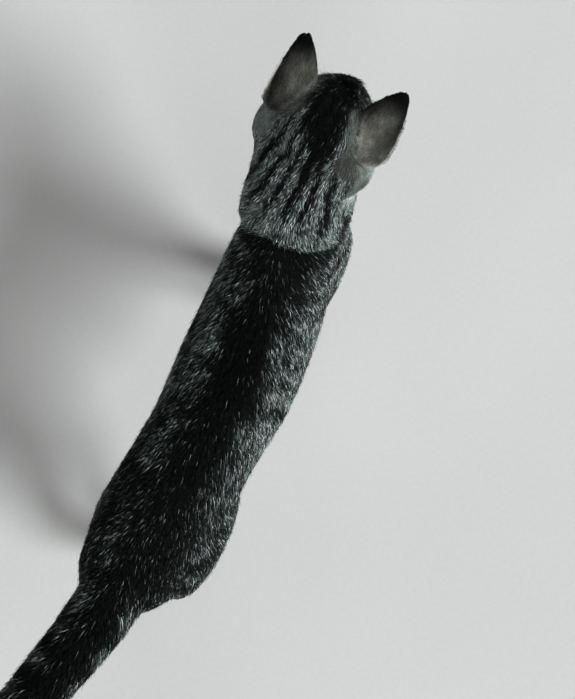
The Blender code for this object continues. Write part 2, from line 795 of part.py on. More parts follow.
def part_head(whole):
    """Thins the head less than the body, each a little past the cut, then makes the cut."""
    point, normal = Vector(HEAD_CUT[0]) * MM, Vector(HEAD_CUT[1]).normalized()
    spare, shift = normal * THINNING_OVERLAP * MM, normal * (JOINT_GAP * 0.5 * MM)
    head = thinned(half_of(whole, point - spare, -normal, "head_rough"), HEAD_TRIANGLES)
    body = thinned(half_of(whole, point + spare, normal, "body_rough"), BODY_TRIANGLES)
    cut_head = half_of(head, point + shift, -normal, "head")
    cut_body = half_of(body, point - shift, normal, "trunk")
    discard(whole, head, body)
    return keep_largest(cut_head), keep_largest(cut_body)


def build():
    head, body = part_head(fused_body())
    limbs = part_legs(body)
    trunk = part_trunk(body)
    neck = next(piece for piece in trunk if piece.name == "neck")
    ear_cutter = grown_copy(head, SEAT_GAP, "ear_cutter")
    ears = seat_ears(ear_cutter)
    neck_cutter = grown_copy(neck, SEAT_GAP, "neck_cutter")
    for ear in ears:
        boolean(ear, neck_cutter, "DIFFERENCE")
    discard(ear_cutter, neck_cutter)
    pieces = [head, *trunk, *limbs, *ears, *seat_features(head)]
    for piece in pieces:
        tidy_mesh(keep_largest(piece))
    return pieces


def finish(pieces):
    """Gives each piece its finish, its smooth shading and an origin at its own joint."""
    origins = {**trunk_origins(), **limb_origins(), **feature_origins()}
    for piece in pieces:
        piece.data.materials.clear()
        piece.data.materials.append(material(finish_of(piece.name)))
        piece.data.shade_smooth()
        piece.data.set_sharp_from_angle(angle=math.radians(SHARP_ANGLE))
        origin = Vector(origins[piece.name]) * MM
        piece.data.transform(Matrix.Translation(-origin))
        piece.location = origin


def stand_centred(pieces):
    """Puts the middle of the outline over the world's origin, soles on the floor."""
    corners = [piece.location + v.co for piece in pieces for v in piece.data.vertices]
    low = Vector([min(c[i] for c in corners) for i in range(3)])
    high = Vector([max(c[i] for c in corners) for i in range(3)])
    shift = Vector(((low.x + high.x) / 2, (low.y + high.y) / 2, low.z))
    for piece in pieces:
        piece.location -= shift


def clear_scene():
    discard(*list(bpy.data.objects))


clear_scene()
cat = build()
finish(cat)
stand_centred(cat)
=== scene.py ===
"""A slim grey mackerel tabby, standing: skin, coat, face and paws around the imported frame.

Metres, +Z up; the cat faces -Y and its left is +X.  Lengths of hair, depths of coat and
places on the head are in millimetres.  Places on the trunk are given by how far along the
spine they lie, how far to the side of it and at what angle round it.
"""

import itertools
import math

import bmesh
import bpy
import numpy as np
from mathutils import Matrix, Vector
from mathutils.bvhtree import BVHTree


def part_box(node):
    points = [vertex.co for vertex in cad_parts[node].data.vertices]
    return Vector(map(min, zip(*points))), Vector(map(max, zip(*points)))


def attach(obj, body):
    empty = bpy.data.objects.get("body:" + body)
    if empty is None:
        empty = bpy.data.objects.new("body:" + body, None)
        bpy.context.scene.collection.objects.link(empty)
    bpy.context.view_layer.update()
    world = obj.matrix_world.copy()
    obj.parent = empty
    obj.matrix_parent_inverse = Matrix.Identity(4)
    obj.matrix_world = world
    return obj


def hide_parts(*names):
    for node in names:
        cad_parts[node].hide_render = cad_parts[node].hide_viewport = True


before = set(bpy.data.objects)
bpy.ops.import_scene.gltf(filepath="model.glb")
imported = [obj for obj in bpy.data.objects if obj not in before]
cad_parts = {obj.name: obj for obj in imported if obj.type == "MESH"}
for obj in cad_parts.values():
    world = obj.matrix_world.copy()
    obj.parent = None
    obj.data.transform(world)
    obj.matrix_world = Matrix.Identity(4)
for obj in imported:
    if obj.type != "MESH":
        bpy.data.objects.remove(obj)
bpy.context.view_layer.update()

MM = 0.001
LEFT, RIGHT = 1, -1
SIDES = {"left": LEFT, "right": RIGHT}
FLESH = sorted(set(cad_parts) - {"eye_left", "eye_right", "nose"})
random = np.random.default_rng(11)


# ---- small helpers
def unit(vectors):
    lengths = np.linalg.norm(vectors, axis=-1, keepdims=True)
    return vectors / np.maximum(lengths, 1e-12)


def distance(offsets):
    return np.linalg.norm(offsets, axis=1)


def dot(a, b):
    return (a * b).sum(axis=-1, keepdims=True)


def ramp(value, low, high):
    """A soft step from 0 at low to 1 at high, which may lie below low."""
    t = np.clip((value - low) / (high - low), 0, 1)
    return t * t * (3 - 2 * t)


def bell(value, middle, width):
    return np.exp(-(((value - middle) / width) ** 2))


def mix(a, b, share):
    return a + (b - a) * share


def noise(points, size, seed):
    """Smooth noise from -1 to 1 whose blots are about size across."""
    grid = np.asarray(points) / size
    cell = np.floor(grid).astype(np.int64)
    inside = grid - cell
    inside = inside * inside * (3 - 2 * inside)
    total = np.zeros(len(grid))
    for corner in itertools.product((0, 1), repeat=3):
        key = (cell + corner) @ np.array([73856093, 19349663, 83492791]) + seed * 2654435761
        key = (key ^ (key >> 13)) * 1274126177 & 0xFFFFFFFF
        key = (key ^ (key >> 16)) * 974711 & 0xFFFFFF
        share = np.prod(np.where(corner, inside, 1 - inside), axis=1)
        total += share * (key / 0xFFFFFF * 2 - 1)
    return total


def linked(name, data):
    """A new object of the scene that holds the data."""
    obj = bpy.data.objects.new(name, data)
    bpy.context.scene.collection.objects.link(obj)
    return obj


def mesh_object(name, places, faces):
    mesh = bpy.data.meshes.new(name)
    mesh.from_pydata(np.asarray(places).tolist(), [], [tuple(map(int, face)) for face in faces])
    mesh.polygons.foreach_set("use_smooth", [True] * len(mesh.polygons))
    mesh.update()
    return linked(name, mesh)


def read(items, field, width, kind=np.float32):
    """One field of a mesh's vertices, edges or triangles, a row for each."""
    found = np.empty(len(items) * width, kind)
    items.foreach_get(field, found)
    return found.reshape(-1, width)


def places_of(mesh):
    return read(mesh.vertices, "co", 3).astype(float)


def normals_of(mesh):
    return read(mesh.vertex_normals, "vector", 3).astype(float)


def triangles_of(mesh):
    mesh.calc_loop_triangles()
    return read(mesh.loop_triangles, "vertices", 3, np.int32)


def move(obj, places):
    """Puts the object's vertices at the places."""
    obj.data.vertices.foreach_set("co", places.astype(np.float32).ravel())
    obj.data.update()


def paint(obj, name, colours):
    """Stores a colour for each vertex, or one for all."""
    layer = obj.data.color_attributes.new(name, "FLOAT_COLOR", "POINT")
    values = np.ones((len(obj.data.vertices), 4), np.float32)
    values[:, :3] = colours
    layer.data.foreach_set("color", values.ravel())


def settled(obj):
    """Bakes the object's modifiers into its mesh."""
    graph = bpy.context.evaluated_depsgraph_get()
    mesh = bpy.data.meshes.new_from_object(obj.evaluated_get(graph))
    obj.modifiers.clear()
    obj.data = mesh


# ---- landmarks: the head, the ears and the spine
def box(node):
    """The lowest and the highest corner of a solid."""
    return [np.array(corner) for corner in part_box(node)]


def middle(node):
    low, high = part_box(node)
    return np.array((low + high) / 2)


EYE_CENTRE = {side: middle(f"eye_{tag}") for tag, side in SIDES.items()}
EYE_RADIUS = 10.5
EYE_PLACE = np.array((18.5, 19.5, 2.5))     # from the skull's centre: forward, left, up
EYE_OUTWARD, EYE_UPWARD = 17, 5     # degrees
EYE_OPENING = (8.6, 6.3)            # half width and half height between the lids
EYE_SLANT = math.radians(14)        # by which the outer corner is raised
NOSE_PLACE = np.array((48, 0, -5.5))
NOSE_RADII = np.array((3.8, 6.8, 4.6))
NOSE_CENTRE = middle("nose")


def head_axes():
    """The skull's centre, and forward, left and up as rows, from the eyes and the nose."""
    between = (EYE_CENTRE[LEFT] + EYE_CENTRE[RIGHT]) / 2
    left = unit(EYE_CENTRE[LEFT] - EYE_CENTRE[RIGHT])
    along = NOSE_CENTRE - between
    along = unit(along - left * (along @ left))
    lift = np.cross(along, left)
    drop = math.atan2(EYE_PLACE[2] - NOSE_PLACE[2], NOSE_PLACE[0] - EYE_PLACE[0])
    forward = along * math.cos(drop) + lift * math.sin(drop)
    up = lift * math.cos(drop) - along * math.sin(drop)
    centre = between - (forward * EYE_PLACE[0] + up * EYE_PLACE[2]) * MM
    return centre, np.array([forward, left, up])


SKULL, HEAD_AXES = head_axes()


def to_head(points):
    """Forward, left and up from the skull's centre, in millimetres."""
    return (np.asarray(points) - SKULL) @ HEAD_AXES.T / MM


def mirrored(points):
    """As to_head, with the right half of the head folded over to the left."""
    head = to_head(points)
    head[:, 1] = np.abs(head[:, 1])
    return head


def from_head(places):
    return SKULL + np.asarray(places, float) * MM @ HEAD_AXES


def eye_axes(side):
    """Gaze, left and up of one eye, as rows."""
    out, up = math.radians(EYE_OUTWARD) * side, math.radians(EYE_UPWARD)
    turn = Matrix.Rotation(out, 3, "Z") @ Matrix.Rotation(-up, 3, "Y")
    return np.array(turn.transposed()) @ HEAD_AXES


EAR_ROOT = np.array((-12, 30.5, 9))
EAR_LENGTH = 58
EAR_SPREAD, EAR_LEAN = math.radians(10), math.radians(4)
EAR_FACING = {LEFT: math.radians(42), RIGHT: math.radians(16)}


def ear_frame(side):
    """The ear's root, and its axis, opening direction and outward direction as rows."""
    axis = np.array([math.sin(EAR_LEAN), math.sin(EAR_SPREAD) * side, math.cos(EAR_SPREAD)])
    axis = unit(axis)
    turn = EAR_FACING[side] * side
    facing = np.array([math.cos(turn), math.sin(turn), 0])
    facing = unit(facing - axis * (axis @ facing))
    outward = np.cross(axis, facing) * side
    return from_head(EAR_ROOT * (1, side, 1)), np.array([axis, facing, outward]) @ HEAD_AXES


# The line through the middle of neck, trunk and tail, in millimetres.
SPINE = (
    (-7.8, -289.7, 266), (-5.8, -252.7, 229), (-8.8, -226.7, 203), (-10.8, -192.7, 186),
    (-15.8, -162.7, 180), (-18.8, -107.7, 181), (-17.8, -57.7, 186), (-14.8, -2.7, 193),
    (-11.8, 39.3, 198), (-8.8, 73.3, 205), (-5.8, 101.3, 209), (3.2, 141.3, 218),
    (15.2, 187.3, 220), (29.2, 233.3, 204), (41.2, 271.3, 178), (51.2, 303.3, 159),
    (57.2, 326.3, 153), (60.2, 341.0, 153),
)
SPINE_STEPS = 5


def rounded_line(corners, steps):
    """A smooth curve through the corners."""
    corners = np.asarray(corners, float)
    padded = np.vstack([2 * corners[0] - corners[1], corners, 2 * corners[-1] - corners[-2]])
    points = []
    for i in range(1, len(padded) - 2):
        before, start, end, after = padded[i - 1:i + 3]
        for t in np.arange(steps) / steps:
            square, cube = t * t, t * t * t
            points.append(0.5 * (
                2 * start + (end - before) * t
                + (2 * before - 5 * start + 4 * end - after) * square
                + (3 * start - before - 3 * end + after) * cube
            ))
    return np.array([*points, corners[-1]])


SPINE_LINE = rounded_line(SPINE, SPINE_STEPS)
SPINE_REACH = np.r_[0, np.cumsum(distance(np.diff(SPINE_LINE, axis=0)))]
NECK_END = 88        # along the spine, where the neck's coat ends in a ledge
RUMP_END = 392       # where the tail leaves the trunk
TAIL_END = SPINE_REACH[-1]


def along_spine(points):
    """For each point: how far along the spine, its offsets from it to the left and up, its
    angle round it, and the spine's direction there with the two directions across."""
    points = np.asarray(points) / MM
    best = np.full(len(points), np.inf)
    reach, foot, tangent = np.zeros(len(points)), np.zeros((len(points), 3)), np.zeros((len(points), 3))
    directions = unit(np.gradient(SPINE_LINE, axis=0))
    for i, (start, end) in enumerate(zip(SPINE_LINE, SPINE_LINE[1:])):
        step = end - start
        t = np.clip((points - start) @ step / (step @ step), 0, 1)
        near = start + t[:, None] * step
        gap = ((points - near) ** 2).sum(axis=1)
        nearer = gap < best
        best[nearer] = gap[nearer]
        reach[nearer] = SPINE_REACH[i] + t[nearer] * np.linalg.norm(step)
        foot[nearer] = near[nearer]
        tangent[nearer] = mix(directions[i], directions[i + 1], t[nearer, None])
    tangent = unit(tangent)
    up = unit(np.array([0, 0, 1.0]) - tangent * tangent[:, 2:])
    side = np.cross(tangent, up)
    left, lift = dot(points - foot, side)[:, 0], dot(points - foot, up)[:, 0]
    return reach, left, lift, np.arctan2(left, lift), (tangent, side, up)


# ---- the skin
SWELL = 0.6          # how far each solid is grown, so that the thin cuts between them close
GRAIN = 1.25         # grain of the joined skin
BODY_ROUNDS = 36     # rounds of smoothing behind the head, which melt the solids' facets
FINE_ROUNDS = 5      # rounds on the head, the ears and the paws
HEAD_RADIUS = 72     # within this of the skull's centre the skin stays fine
PAW_TOP = 30
BODY_SHARE = 0.24    # share of the triangles kept behind the head
EAR_SHARE = 0.30     # of an ear's thickness, the most that either side is sunk
BORDER_ROUNDS = 14   # rounds of blending across the borders between regions


def solid_parts():
    """The flesh solids' places, normals and faces, and for each face its node's number."""
    places, normals, faces, owners = [], [], [], []
    for number, node in enumerate(FLESH):
        bm = bmesh.new()
        bm.from_mesh(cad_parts[node].data)
        bmesh.ops.remove_doubles(bm, verts=bm.verts, dist=1e-5)
        bmesh.ops.triangulate(bm, faces=bm.faces)
        bm.normal_update()
        faces += [[v.index + len(places) for v in f.verts] for f in bm.faces]
        places += [v.co[:] for v in bm.verts]
        normals += [v.normal[:] for v in bm.verts]
        owners += [number] * len(bm.faces)
        bm.free()
    return np.array(places), np.array(normals), np.array(faces), np.array(owners)


class Net:
    """The edges of a mesh, for spreading values from each vertex to its neighbours."""

    def __init__(self, mesh):
        edges = read(mesh.edges, "vertices", 2, np.int32)
        self.one, self.other = edges.T
        self.count = len(mesh.vertices)
        self.degree = np.maximum(np.bincount(edges.ravel(), minlength=self.count), 1)

    def neighbours(self, values):
        means = np.empty_like(values)
        for column in range(values.shape[1]):
            one = np.bincount(self.one, values[self.other, column], self.count)
            other = np.bincount(self.other, values[self.one, column], self.count)
            means[:, column] = (one + other) / self.degree
        return means

    def spread(self, values, rounds, share=1.0):
        """share is how far each value moves towards its neighbours' mean in a round."""
        values = np.array(values, float).reshape(self.count, -1)
        for _ in range(rounds):
            values += (self.neighbours(values) - values) * share
        return values


def fine_share(places):
    """1 on the head, ears and paws, 0 elsewhere."""
    on_head = distance(places - SKULL) < HEAD_RADIUS * MM
    ears = to_head(places)[:, 2] > 30
    return (on_head | ears | (places[:, 2] < PAW_TOP * MM)).astype(float)


def behind_face(places):
    """1 on the head behind the cheeks and under the ears, where its masses melt into the neck."""
    forward, _, up = to_head(places).T
    return (1 - ramp(forward, -6, 8)) * (1 - ramp(up, -6, 8))


def joined_skin():
    """All the flesh solids as one closed skin, without their cuts and facets."""
    places, normals, faces, _ = SOLIDS
    skin = mesh_object("skin", places + normals * SWELL * MM, faces)
    fuse = skin.modifiers.new("fuse", "REMESH")
    fuse.mode = "VOXEL"
    fuse.voxel_size = GRAIN * MM
    settled(skin)
    net, places = Net(skin.data), places_of(skin.data)
    rough = np.maximum(net.spread(1 - fine_share(places), 12), behind_face(places)[:, None])
    for turn in range(BODY_ROUNDS):
        share = 0.5 if turn < FINE_ROUNDS else 0.5 * rough
        places += (net.neighbours(places) - places) * share
    move(skin, places)
    coarse = skin.vertex_groups.new(name="coarse")
    chosen = np.flatnonzero(fine_share(places) < 0.5)
    coarse.add(chosen.tolist(), 1.0, "REPLACE")
    thin = skin.modifiers.new("thin", "DECIMATE")
    thin.vertex_group = "coarse"
    thin.ratio = 1 - len(chosen) / len(places) * (1 - BODY_SHARE)
    thin.use_collapse_triangulate = True
    settled(skin)
    skin.vertex_groups.clear()
    return skin


# The coat by region: how deep the skin lies under the solids, the hair's length and width,
# and how closely it stands, against the other regions.
#                depth  length  width  closeness
COAT = {
    "head":     (2.2, 6.0, 0.50, 1.75),
    "ear":      (0.5, 3.2, 0.36, 1.80),
    "neck":     (3.6, 9.5, 0.52, 0.98),
    "trunk":    (3.6, 9.5, 0.52, 0.78),
    "upper":    (3.2, 9.0, 0.54, 0.68),
    "lower":    (2.0, 6.5, 0.56, 0.74),
    "paw":      (1.3, 4.0, 0.52, 0.95),
    "tail":     (4.0, 12.0, 0.58, 0.80),
}
REGIONS = list(COAT)
# The first of these words that is in a node's name tells its region.
REGION_WORDS = {
    "forearm": "lower", "shank": "lower", "paw": "paw", "arm": "upper", "thigh": "upper",
    "ear": "ear", "head": "head", "neck": "neck", "tail": "tail", "": "trunk",
}


def region_of(node):
    return next(region for word, region in REGION_WORDS.items() if word in node)


# ---- what each point of the skin belongs to
SOLIDS = solid_parts()
SOLID_TREE = BVHTree.FromPolygons(SOLIDS[0].tolist(), SOLIDS[2].tolist())


def on(*regions):
    """For each vertex of the skin, its share in the regions."""
    return sum(shares[:, REGIONS.index(region)] for region in regions)


def face_share():
    """1 at the nose, fading to 0 on the crown and the cheeks."""
    gap = distance(to_head(places) - NOSE_PLACE)
    return (1 - ramp(gap, 14, 66)) * on("head")


def coat_table(column):
    """A column of the coat's table, blended over the skin's vertices."""
    return shares @ np.array([row[column] for row in COAT.values()])


def coat_depth():
    """How deep the skin lies under the tips of the coat, in millimetres."""
    depths = coat_table(0)
    face = 1 - ramp(distance(to_head(places) - NOSE_PLACE), 12, 62)
    depths = mix(depths, 0.5, face * on("head"))
    for side in (LEFT, RIGHT):
        gap = distance(places - EYE_CENTRE[side]) / MM
        depths = mix(depths, 0.3, 1 - ramp(gap, EYE_RADIUS + 2, EYE_RADIUS + 8))
    tip = distance(places - np.array(SPINE[-1]) * MM) / MM
    return mix(depths, 2.0, 1 - ramp(tip, 0, 22))


def within_thin_parts(inset):
    """The inset, at most a part of the skin's thickness, so that an ear keeps its two sides."""
    normals = normals_of(skin.data)
    tree = BVHTree.FromPolygons(places.tolist(), triangles_of(skin.data).tolist())
    limit = inset.copy()
    for i in np.flatnonzero(on("ear") > 0.02):
        start = Vector(places[i] - normals[i] * 1e-5)
        _, _, _, thickness = tree.ray_cast(start, Vector(-normals[i]), 0.02)
        if thickness is not None:
            limit[i] = min(limit[i], thickness / MM * EAR_SHARE)
    return net.spread(limit, 2, 0.5)[:, 0]


skin = joined_skin()
net = Net(skin.data)
places = places_of(skin.data)
owners = SOLIDS[3][[SOLID_TREE.find_nearest(place)[2] for place in places.tolist()]]
regions = [REGIONS.index(region_of(FLESH[owner])) for owner in owners]
shares = net.spread(np.eye(len(REGIONS))[regions], BORDER_ROUNDS, 0.9)
depth = net.spread(coat_depth(), 3)[:, 0]
places -= normals_of(skin.data) * (within_thin_parts(SWELL + depth) * MM)[:, None]
places = places + (net.spread(places, 2, 0.5) - places) * 0.6
move(skin, places)
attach(skin, "root")
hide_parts(*FLESH)


# ---- forms that the skin adds: lids, mouth, whisker pads, toes, and the ledge at the nape
def along_skin(directions, normals):
    return unit(directions - normals * dot(directions, normals))


MOUTH = np.array((
    (47, 0, -10), (46, 0, -14), (45, 0, -17.5), (40, 6, -20.5), (33, 12, -20.5), (24, 17, -18),
))
WHISKER_PADS = np.array((42, 7.5, -13.5))
TOE_GROOVES = (-0.245, 0, 0.245)    # as parts of the paw's width
TOES = (-0.37, -0.12, 0.12, 0.37)
LEDGE_RISE = 2.6
PAWS = [node for node in FLESH if "paw" in node]


def gap_to_line(points, line):
    """Distance from each point to the nearest part of a line of straight pieces."""
    best = np.full(len(points), np.inf)
    for start, end in zip(line, line[1:]):
        step = end - start
        t = np.clip((points - start) @ step / (step @ step), 0, 1)
        best = np.minimum(best, distance(points - start - t[:, None] * step))
    return best


def mouth_gap(places):
    """Distance in millimetres from the line of the mouth."""
    return gap_to_line(mirrored(places), MOUTH)


def lids_height(along):
    """Half the height of the opening between the lids, along its length."""
    return EYE_OPENING[1] * (1 - np.minimum(np.abs(along / EYE_OPENING[0]), 1) ** 2.2)


def seen_from_eye(side, places):
    """Places from the eye's centre in millimetres: ahead, and along and across the opening,
    whose outer corner is raised."""
    ahead, left, up = ((places - EYE_CENTRE[side]) @ eye_axes(side).T / MM).T
    along = left * side * math.cos(EYE_SLANT) + up * math.sin(EYE_SLANT)
    across = up * math.cos(EYE_SLANT) - left * side * math.sin(EYE_SLANT)
    return ahead, along, across


def lid_gap(side, places):
    """How far outside the opening between the lids each place lies; negative inside it."""
    ahead, along, across = seen_from_eye(side, places)
    beyond = np.hypot(np.maximum(np.abs(along) - EYE_OPENING[0], 0), np.abs(across))
    inside = (np.abs(across) - lids_height(along)) * 0.85
    gap = np.where(np.abs(along) > EYE_OPENING[0], beyond, inside)
    return np.where(ahead > 0, gap, 99)


def ledge_reach(places, angle):
    """How far along the spine the nape's coat ends."""
    return NECK_END - 8 + noise(places, 0.010, 2) * 3 + 5 * ramp(np.abs(angle), 1.0, 1.8)


def forms():
    """How far the skin rises along its normals, in millimetres."""
    reach, _, lift, angle, _ = along_spine(places)
    end = ledge_reach(places, angle)
    ledge = ramp(reach, 34, 76) * (1 - ramp(reach, end - 1, end + 3.5)) - 0.5 * bell(reach, end + 8, 7)
    rise = LEDGE_RISE * ledge * ramp(lift, -30, 0) * (shares[:, :3].sum(axis=1) < 0.99)
    rise = rise * (1 - on("head"))

    gap = distance(mirrored(places) - WHISKER_PADS)
    rise = rise + 1.5 * bell(gap, 0, 6.5) * on("head")
    rise = rise - 1.3 * bell(mouth_gap(places), 0, 1.3) * on("head")
    for side in (LEFT, RIGHT):
        lid = lid_gap(side, places)
        _, _, across = seen_from_eye(side, places)
        rise = rise + 0.8 * bell(lid, 4.5, 2.2) * ramp(across, 0, 4) - 0.35 * bell(lid, 2.4, 0.7)

    for node in PAWS:
        low, high = box(node)
        inside = ((places > low - 0.002) & (places < high + 0.002)).all(axis=1)
        across = (places[:, 0] - (low + high)[0] / 2) / (high - low)[0]
        front = 1 - ramp(places[:, 1], low[1] + 0.010, low[1] + 0.024)
        groove = sum(bell(across, at, 0.045) for at in TOE_GROOVES)
        toes = 0.5 * sum(bell(across, at, 0.07) for at in TOES)
        rise = rise + inside * front * (toes - 1.7 * groove) * ramp(places[:, 2], 0.001, 0.004)
    return rise


def fit_lids(places):
    """The skin moved out to lids lying on the eyeballs, and in behind them in the openings."""
    for side in (LEFT, RIGHT):
        offset = (places - EYE_CENTRE[side]) / MM
        far = distance(offset)
        gap = lid_gap(side, places)
        lid = np.maximum(far, EYE_RADIUS + 0.45 + 1.1 * ramp(gap, 0, 2.0))
        fitted = np.where(gap > 0, lid, np.minimum(far, EYE_RADIUS - 1.2))
        near = (far < EYE_RADIUS + 6) & (gap < 5)
        places = np.where(near[:, None], EYE_CENTRE[side] + offset * (fitted / far)[:, None] * MM, places)
    return places


places = fit_lids(places + normals_of(skin.data) * (forms() * MM)[:, None])
move(skin, places)
normals = normals_of(skin.data)


# ---- how the coat lies
CROWN_SIDE = -4         # the crown's middle, millimetres to the left


def from_brow(places):
    """Over the crown and down the nape: how far back, and which ray of the fan of stripes."""
    forward, left, up = to_head(places).T
    back = 0.75 * (14 - forward + 34 - up)
    return back, (left - CROWN_SIDE) / (17 + 0.36 * np.maximum(back, 0))


def lie_of_coat():
    """The direction in which the hair lies at each vertex, along the skin."""
    reach, left, _, angle, (tangent, side, up) = along_spine(places)
    around = side * np.cos(angle)[:, None] - up * np.sin(angle)[:, None]
    parting = np.sign(left) * np.sin(np.minimum(np.abs(angle) * 1.2, math.pi)) ** 0.8
    parting = parting * (0.75 + 0.6 * bell(reach, 170, 90) * (left < 0))
    back = tangent + around * parting[:, None]
    head = to_head(places)
    from_nose = (head - NOSE_PLACE) * (1, 1.15, 1)
    ears = np.where(head[:, 1:2] > 0, ear_frame(LEFT)[1][0], ear_frame(RIGHT)[1][0])
    lie = on("head")[:, None] * unit(from_nose) @ HEAD_AXES + on("ear")[:, None] * ears
    lie = lie + on("neck", "trunk", "tail")[:, None] * unit(back)
    for region, way in ("upper", (0, 0.55, -0.85)), ("lower", (0, 0.12, -1.0)), ("paw", (0, -0.8, -0.6)):
        lie = lie + on(region)[:, None] * unit(np.array(way))
    brow_back, ray = from_brow(places)
    fan = np.stack([-np.ones_like(ray), 0.55 * ray, -np.ones_like(ray)], axis=1) @ HEAD_AXES
    fan = unit(fan) * (ramp(brow_back, -4, 24) * (1 - ramp(reach, 45, 80)))[:, None]
    fanned = (on("head", "neck") * ramp(head[:, 2], -60, -25))[:, None]
    lie = lie * (1 - distance(fan)[:, None] * fanned) + fan * fanned
    lie = unit(along_skin(lie, normals))
    return unit(along_skin(net.spread(lie, 8, 0.7), normals))


def turned(directions, around, angle):
    """Directions along the skin, turned by an angle for each."""
    return directions * np.cos(angle)[:, None] + np.cross(around, directions) * np.sin(angle)[:, None]


# ---- markings
BAND_SHIFT = 7          # the dark band's middle lies this far to the right of the spine's line
BAND_HALF = 16          # half its width along the back
STRIPE_PITCH = 20       # between two mackerel stripes on the flank
TAIL_PITCH = 25
LEG_PITCH = 19
NAPE_LINES = (-0.78, -0.50, -0.26, -0.03, 0.20, 0.44, 0.70)


def nape_light(places):
    """Lightness of the crown's back and the nape: a dark fan of stripes that opens to silver."""
    back, ray = from_brow(places)
    bent = ray + 0.035 * noise(places, 0.018, 12)
    lines = sum(bell(bent, at, 0.070) for at in NAPE_LINES)
    thin = noise(places * (1, 0.35, 0.35), 0.0035, 13)
    lines = np.clip(lines + 0.14 * thin, 0, 1) * (1 - 0.65 * ramp(back, 98, 118))
    half = mix(0.52, 0.0, ramp(back, 15, 85))
    middle = mix(0.18, -0.08, ramp(back, 22, 58))
    dark = 1 - ramp(np.abs(ray - middle) + 0.10 * thin, half - 0.14, half + 0.12)
    mottled = 0.65 * ramp(noise(places, 0.005, 15), 0.0, 0.5) * (1 - ramp(back, 6, 30))
    silver = mix(0.70, 0.98, ramp(back, 40, 105)) + 0.10 * noise(places, 0.012, 14)
    near_ears = ear_nearness(places)
    silver = mix(silver, 0.90, near_ears)
    return silver * (1 - 0.92 * lines * (1 - near_ears)) * (1 - 0.93 * dark * (1 - mottled))


def nape_share(places):
    """1 on the back of the head, where the hair is as long as the neck's, 0 round the ears."""
    back, _ = from_brow(places)
    return ramp(back, -12, 4) * (1 - ear_nearness(places)) * (1 - behind_ears(places))


def ear_nearness(places):
    """1 round the roots of the ears, fading over the head."""
    back, _ = from_brow(places)
    end = np.where(to_head(places)[:, 1] > 0, 44, 62)
    gap = distance(mirrored(places) - EAR_ROOT)
    near = 1 - ramp(gap, 18, mix(42, 30, ramp(back, 30, 45)))
    return near * (1 - ramp(back, end - 7, end + 7)) * (1 - behind_ears(places))


def trunk_light(places):
    """Lightness of neck, trunk and tail, from 0, black, to 1, silver."""
    reach, left, lift, angle, _ = along_spine(places)
    wobble = noise(places, 0.012, 3) * 4 + noise(places, 0.005, 4) * 3
    arc = np.abs(angle) * np.hypot(left, lift)

    widening = 14 * bell(reach, NECK_END + 4, 18) + 5 * bell(reach, 210, 50)
    widening = widening + 3 * bell(reach, RUMP_END - 40, 40)
    shift = BAND_SHIFT + 4 * ramp(reach, 300, 380)
    streaks = noise(np.stack([0.22 * reach, arc, 0 * arc], axis=1), 2.6, 9)
    half = BAND_HALF + widening + wobble + 5 * streaks - 7 * bell(reach, 185, 65) * (left < -shift)
    band = (1 - ramp(np.abs(left + shift), half - 9, half + 9)) * ramp(lift, -5, 10)
    phase = reach + 0.30 * arc + noise(places, 0.03, 5) * 6
    stripe = ramp(np.cos(2 * math.pi * phase / STRIPE_PITCH), -0.2, 0.7)
    stripe = stripe * ramp(noise(places, 0.020, 6), -0.8, 0.0) * (1 - 0.5 * ramp(arc, 75, 115))
    rump = ramp(reach, 230, 330)
    # The flanks darken towards the rump, painted shade where the light falls off towards the rear, and more
    # on the left, partly darker fur and partly painted shade of the side away from the key light.
    flank = mix(0.64, 0.38, rump) + 0.14 * noise(places, 0.012, 7)
    flank = flank * (1 - mix(0.10, 0.35, rump) * ramp(left, -10, 20))
    faded = 0.02 + 0.09 * bell(reach, NECK_END + 25, 45) + 0.08 * rump
    trunk = mix(mix(flank, 0.10, 0.80 * stripe), faded, band) * (1 + 0.40 * streaks)

    tail_phase = (reach - RUMP_END) / TAIL_PITCH + 0.10 * noise(places, 0.01, 8)
    ring = ramp(np.cos(2 * math.pi * tail_phase), -0.2, 0.5) * ramp(reach, RUMP_END - 6, RUMP_END + 40)
    line = (1 - ramp(np.abs(left + 3), 5, 12)) * ramp(lift, 0, 8)
    tail = 0.50 * (1 - 0.85 * ring) * (1 - 0.85 * line) * (1 + 0.5 * streaks)
    tail = tail * (1 - ramp(reach, TAIL_END - 55, TAIL_END - 38))

    end = ledge_reach(places, angle)
    nape = mix(nape_light(places), 0.55, 1 - ramp(lift, -30, -5))
    light = mix(nape, trunk, ramp(reach, end - 1, end + 3))
    return mix(light, tail, ramp(reach, RUMP_END - 14, RUMP_END + 16))


def behind_ears(places):
    """The smooth pale patches behind and below the ears: pale fur, brightened further as painted light, and
    the left one fainter as painted shade of the side away from the key light.
    """
    forward, left, up = to_head(places).T
    patch = ramp(np.abs(left + 3), 30, 37) * (1 - ramp(forward, 2, 12)) * ramp(forward, -40, -26)
    patch = patch + 0.25 * noise(places, 0.004, 16) * patch
    below = np.where(left > 0, ramp(up, -18, -7), ramp(up, -46, -22))
    # The left patch is painted at two thirds: painted shade of the side away from the key light.
    return np.clip(patch * below * (1 - ramp(up, 6, 14)) * np.where(left > 0, 0.66, 1.0), 0, 1)


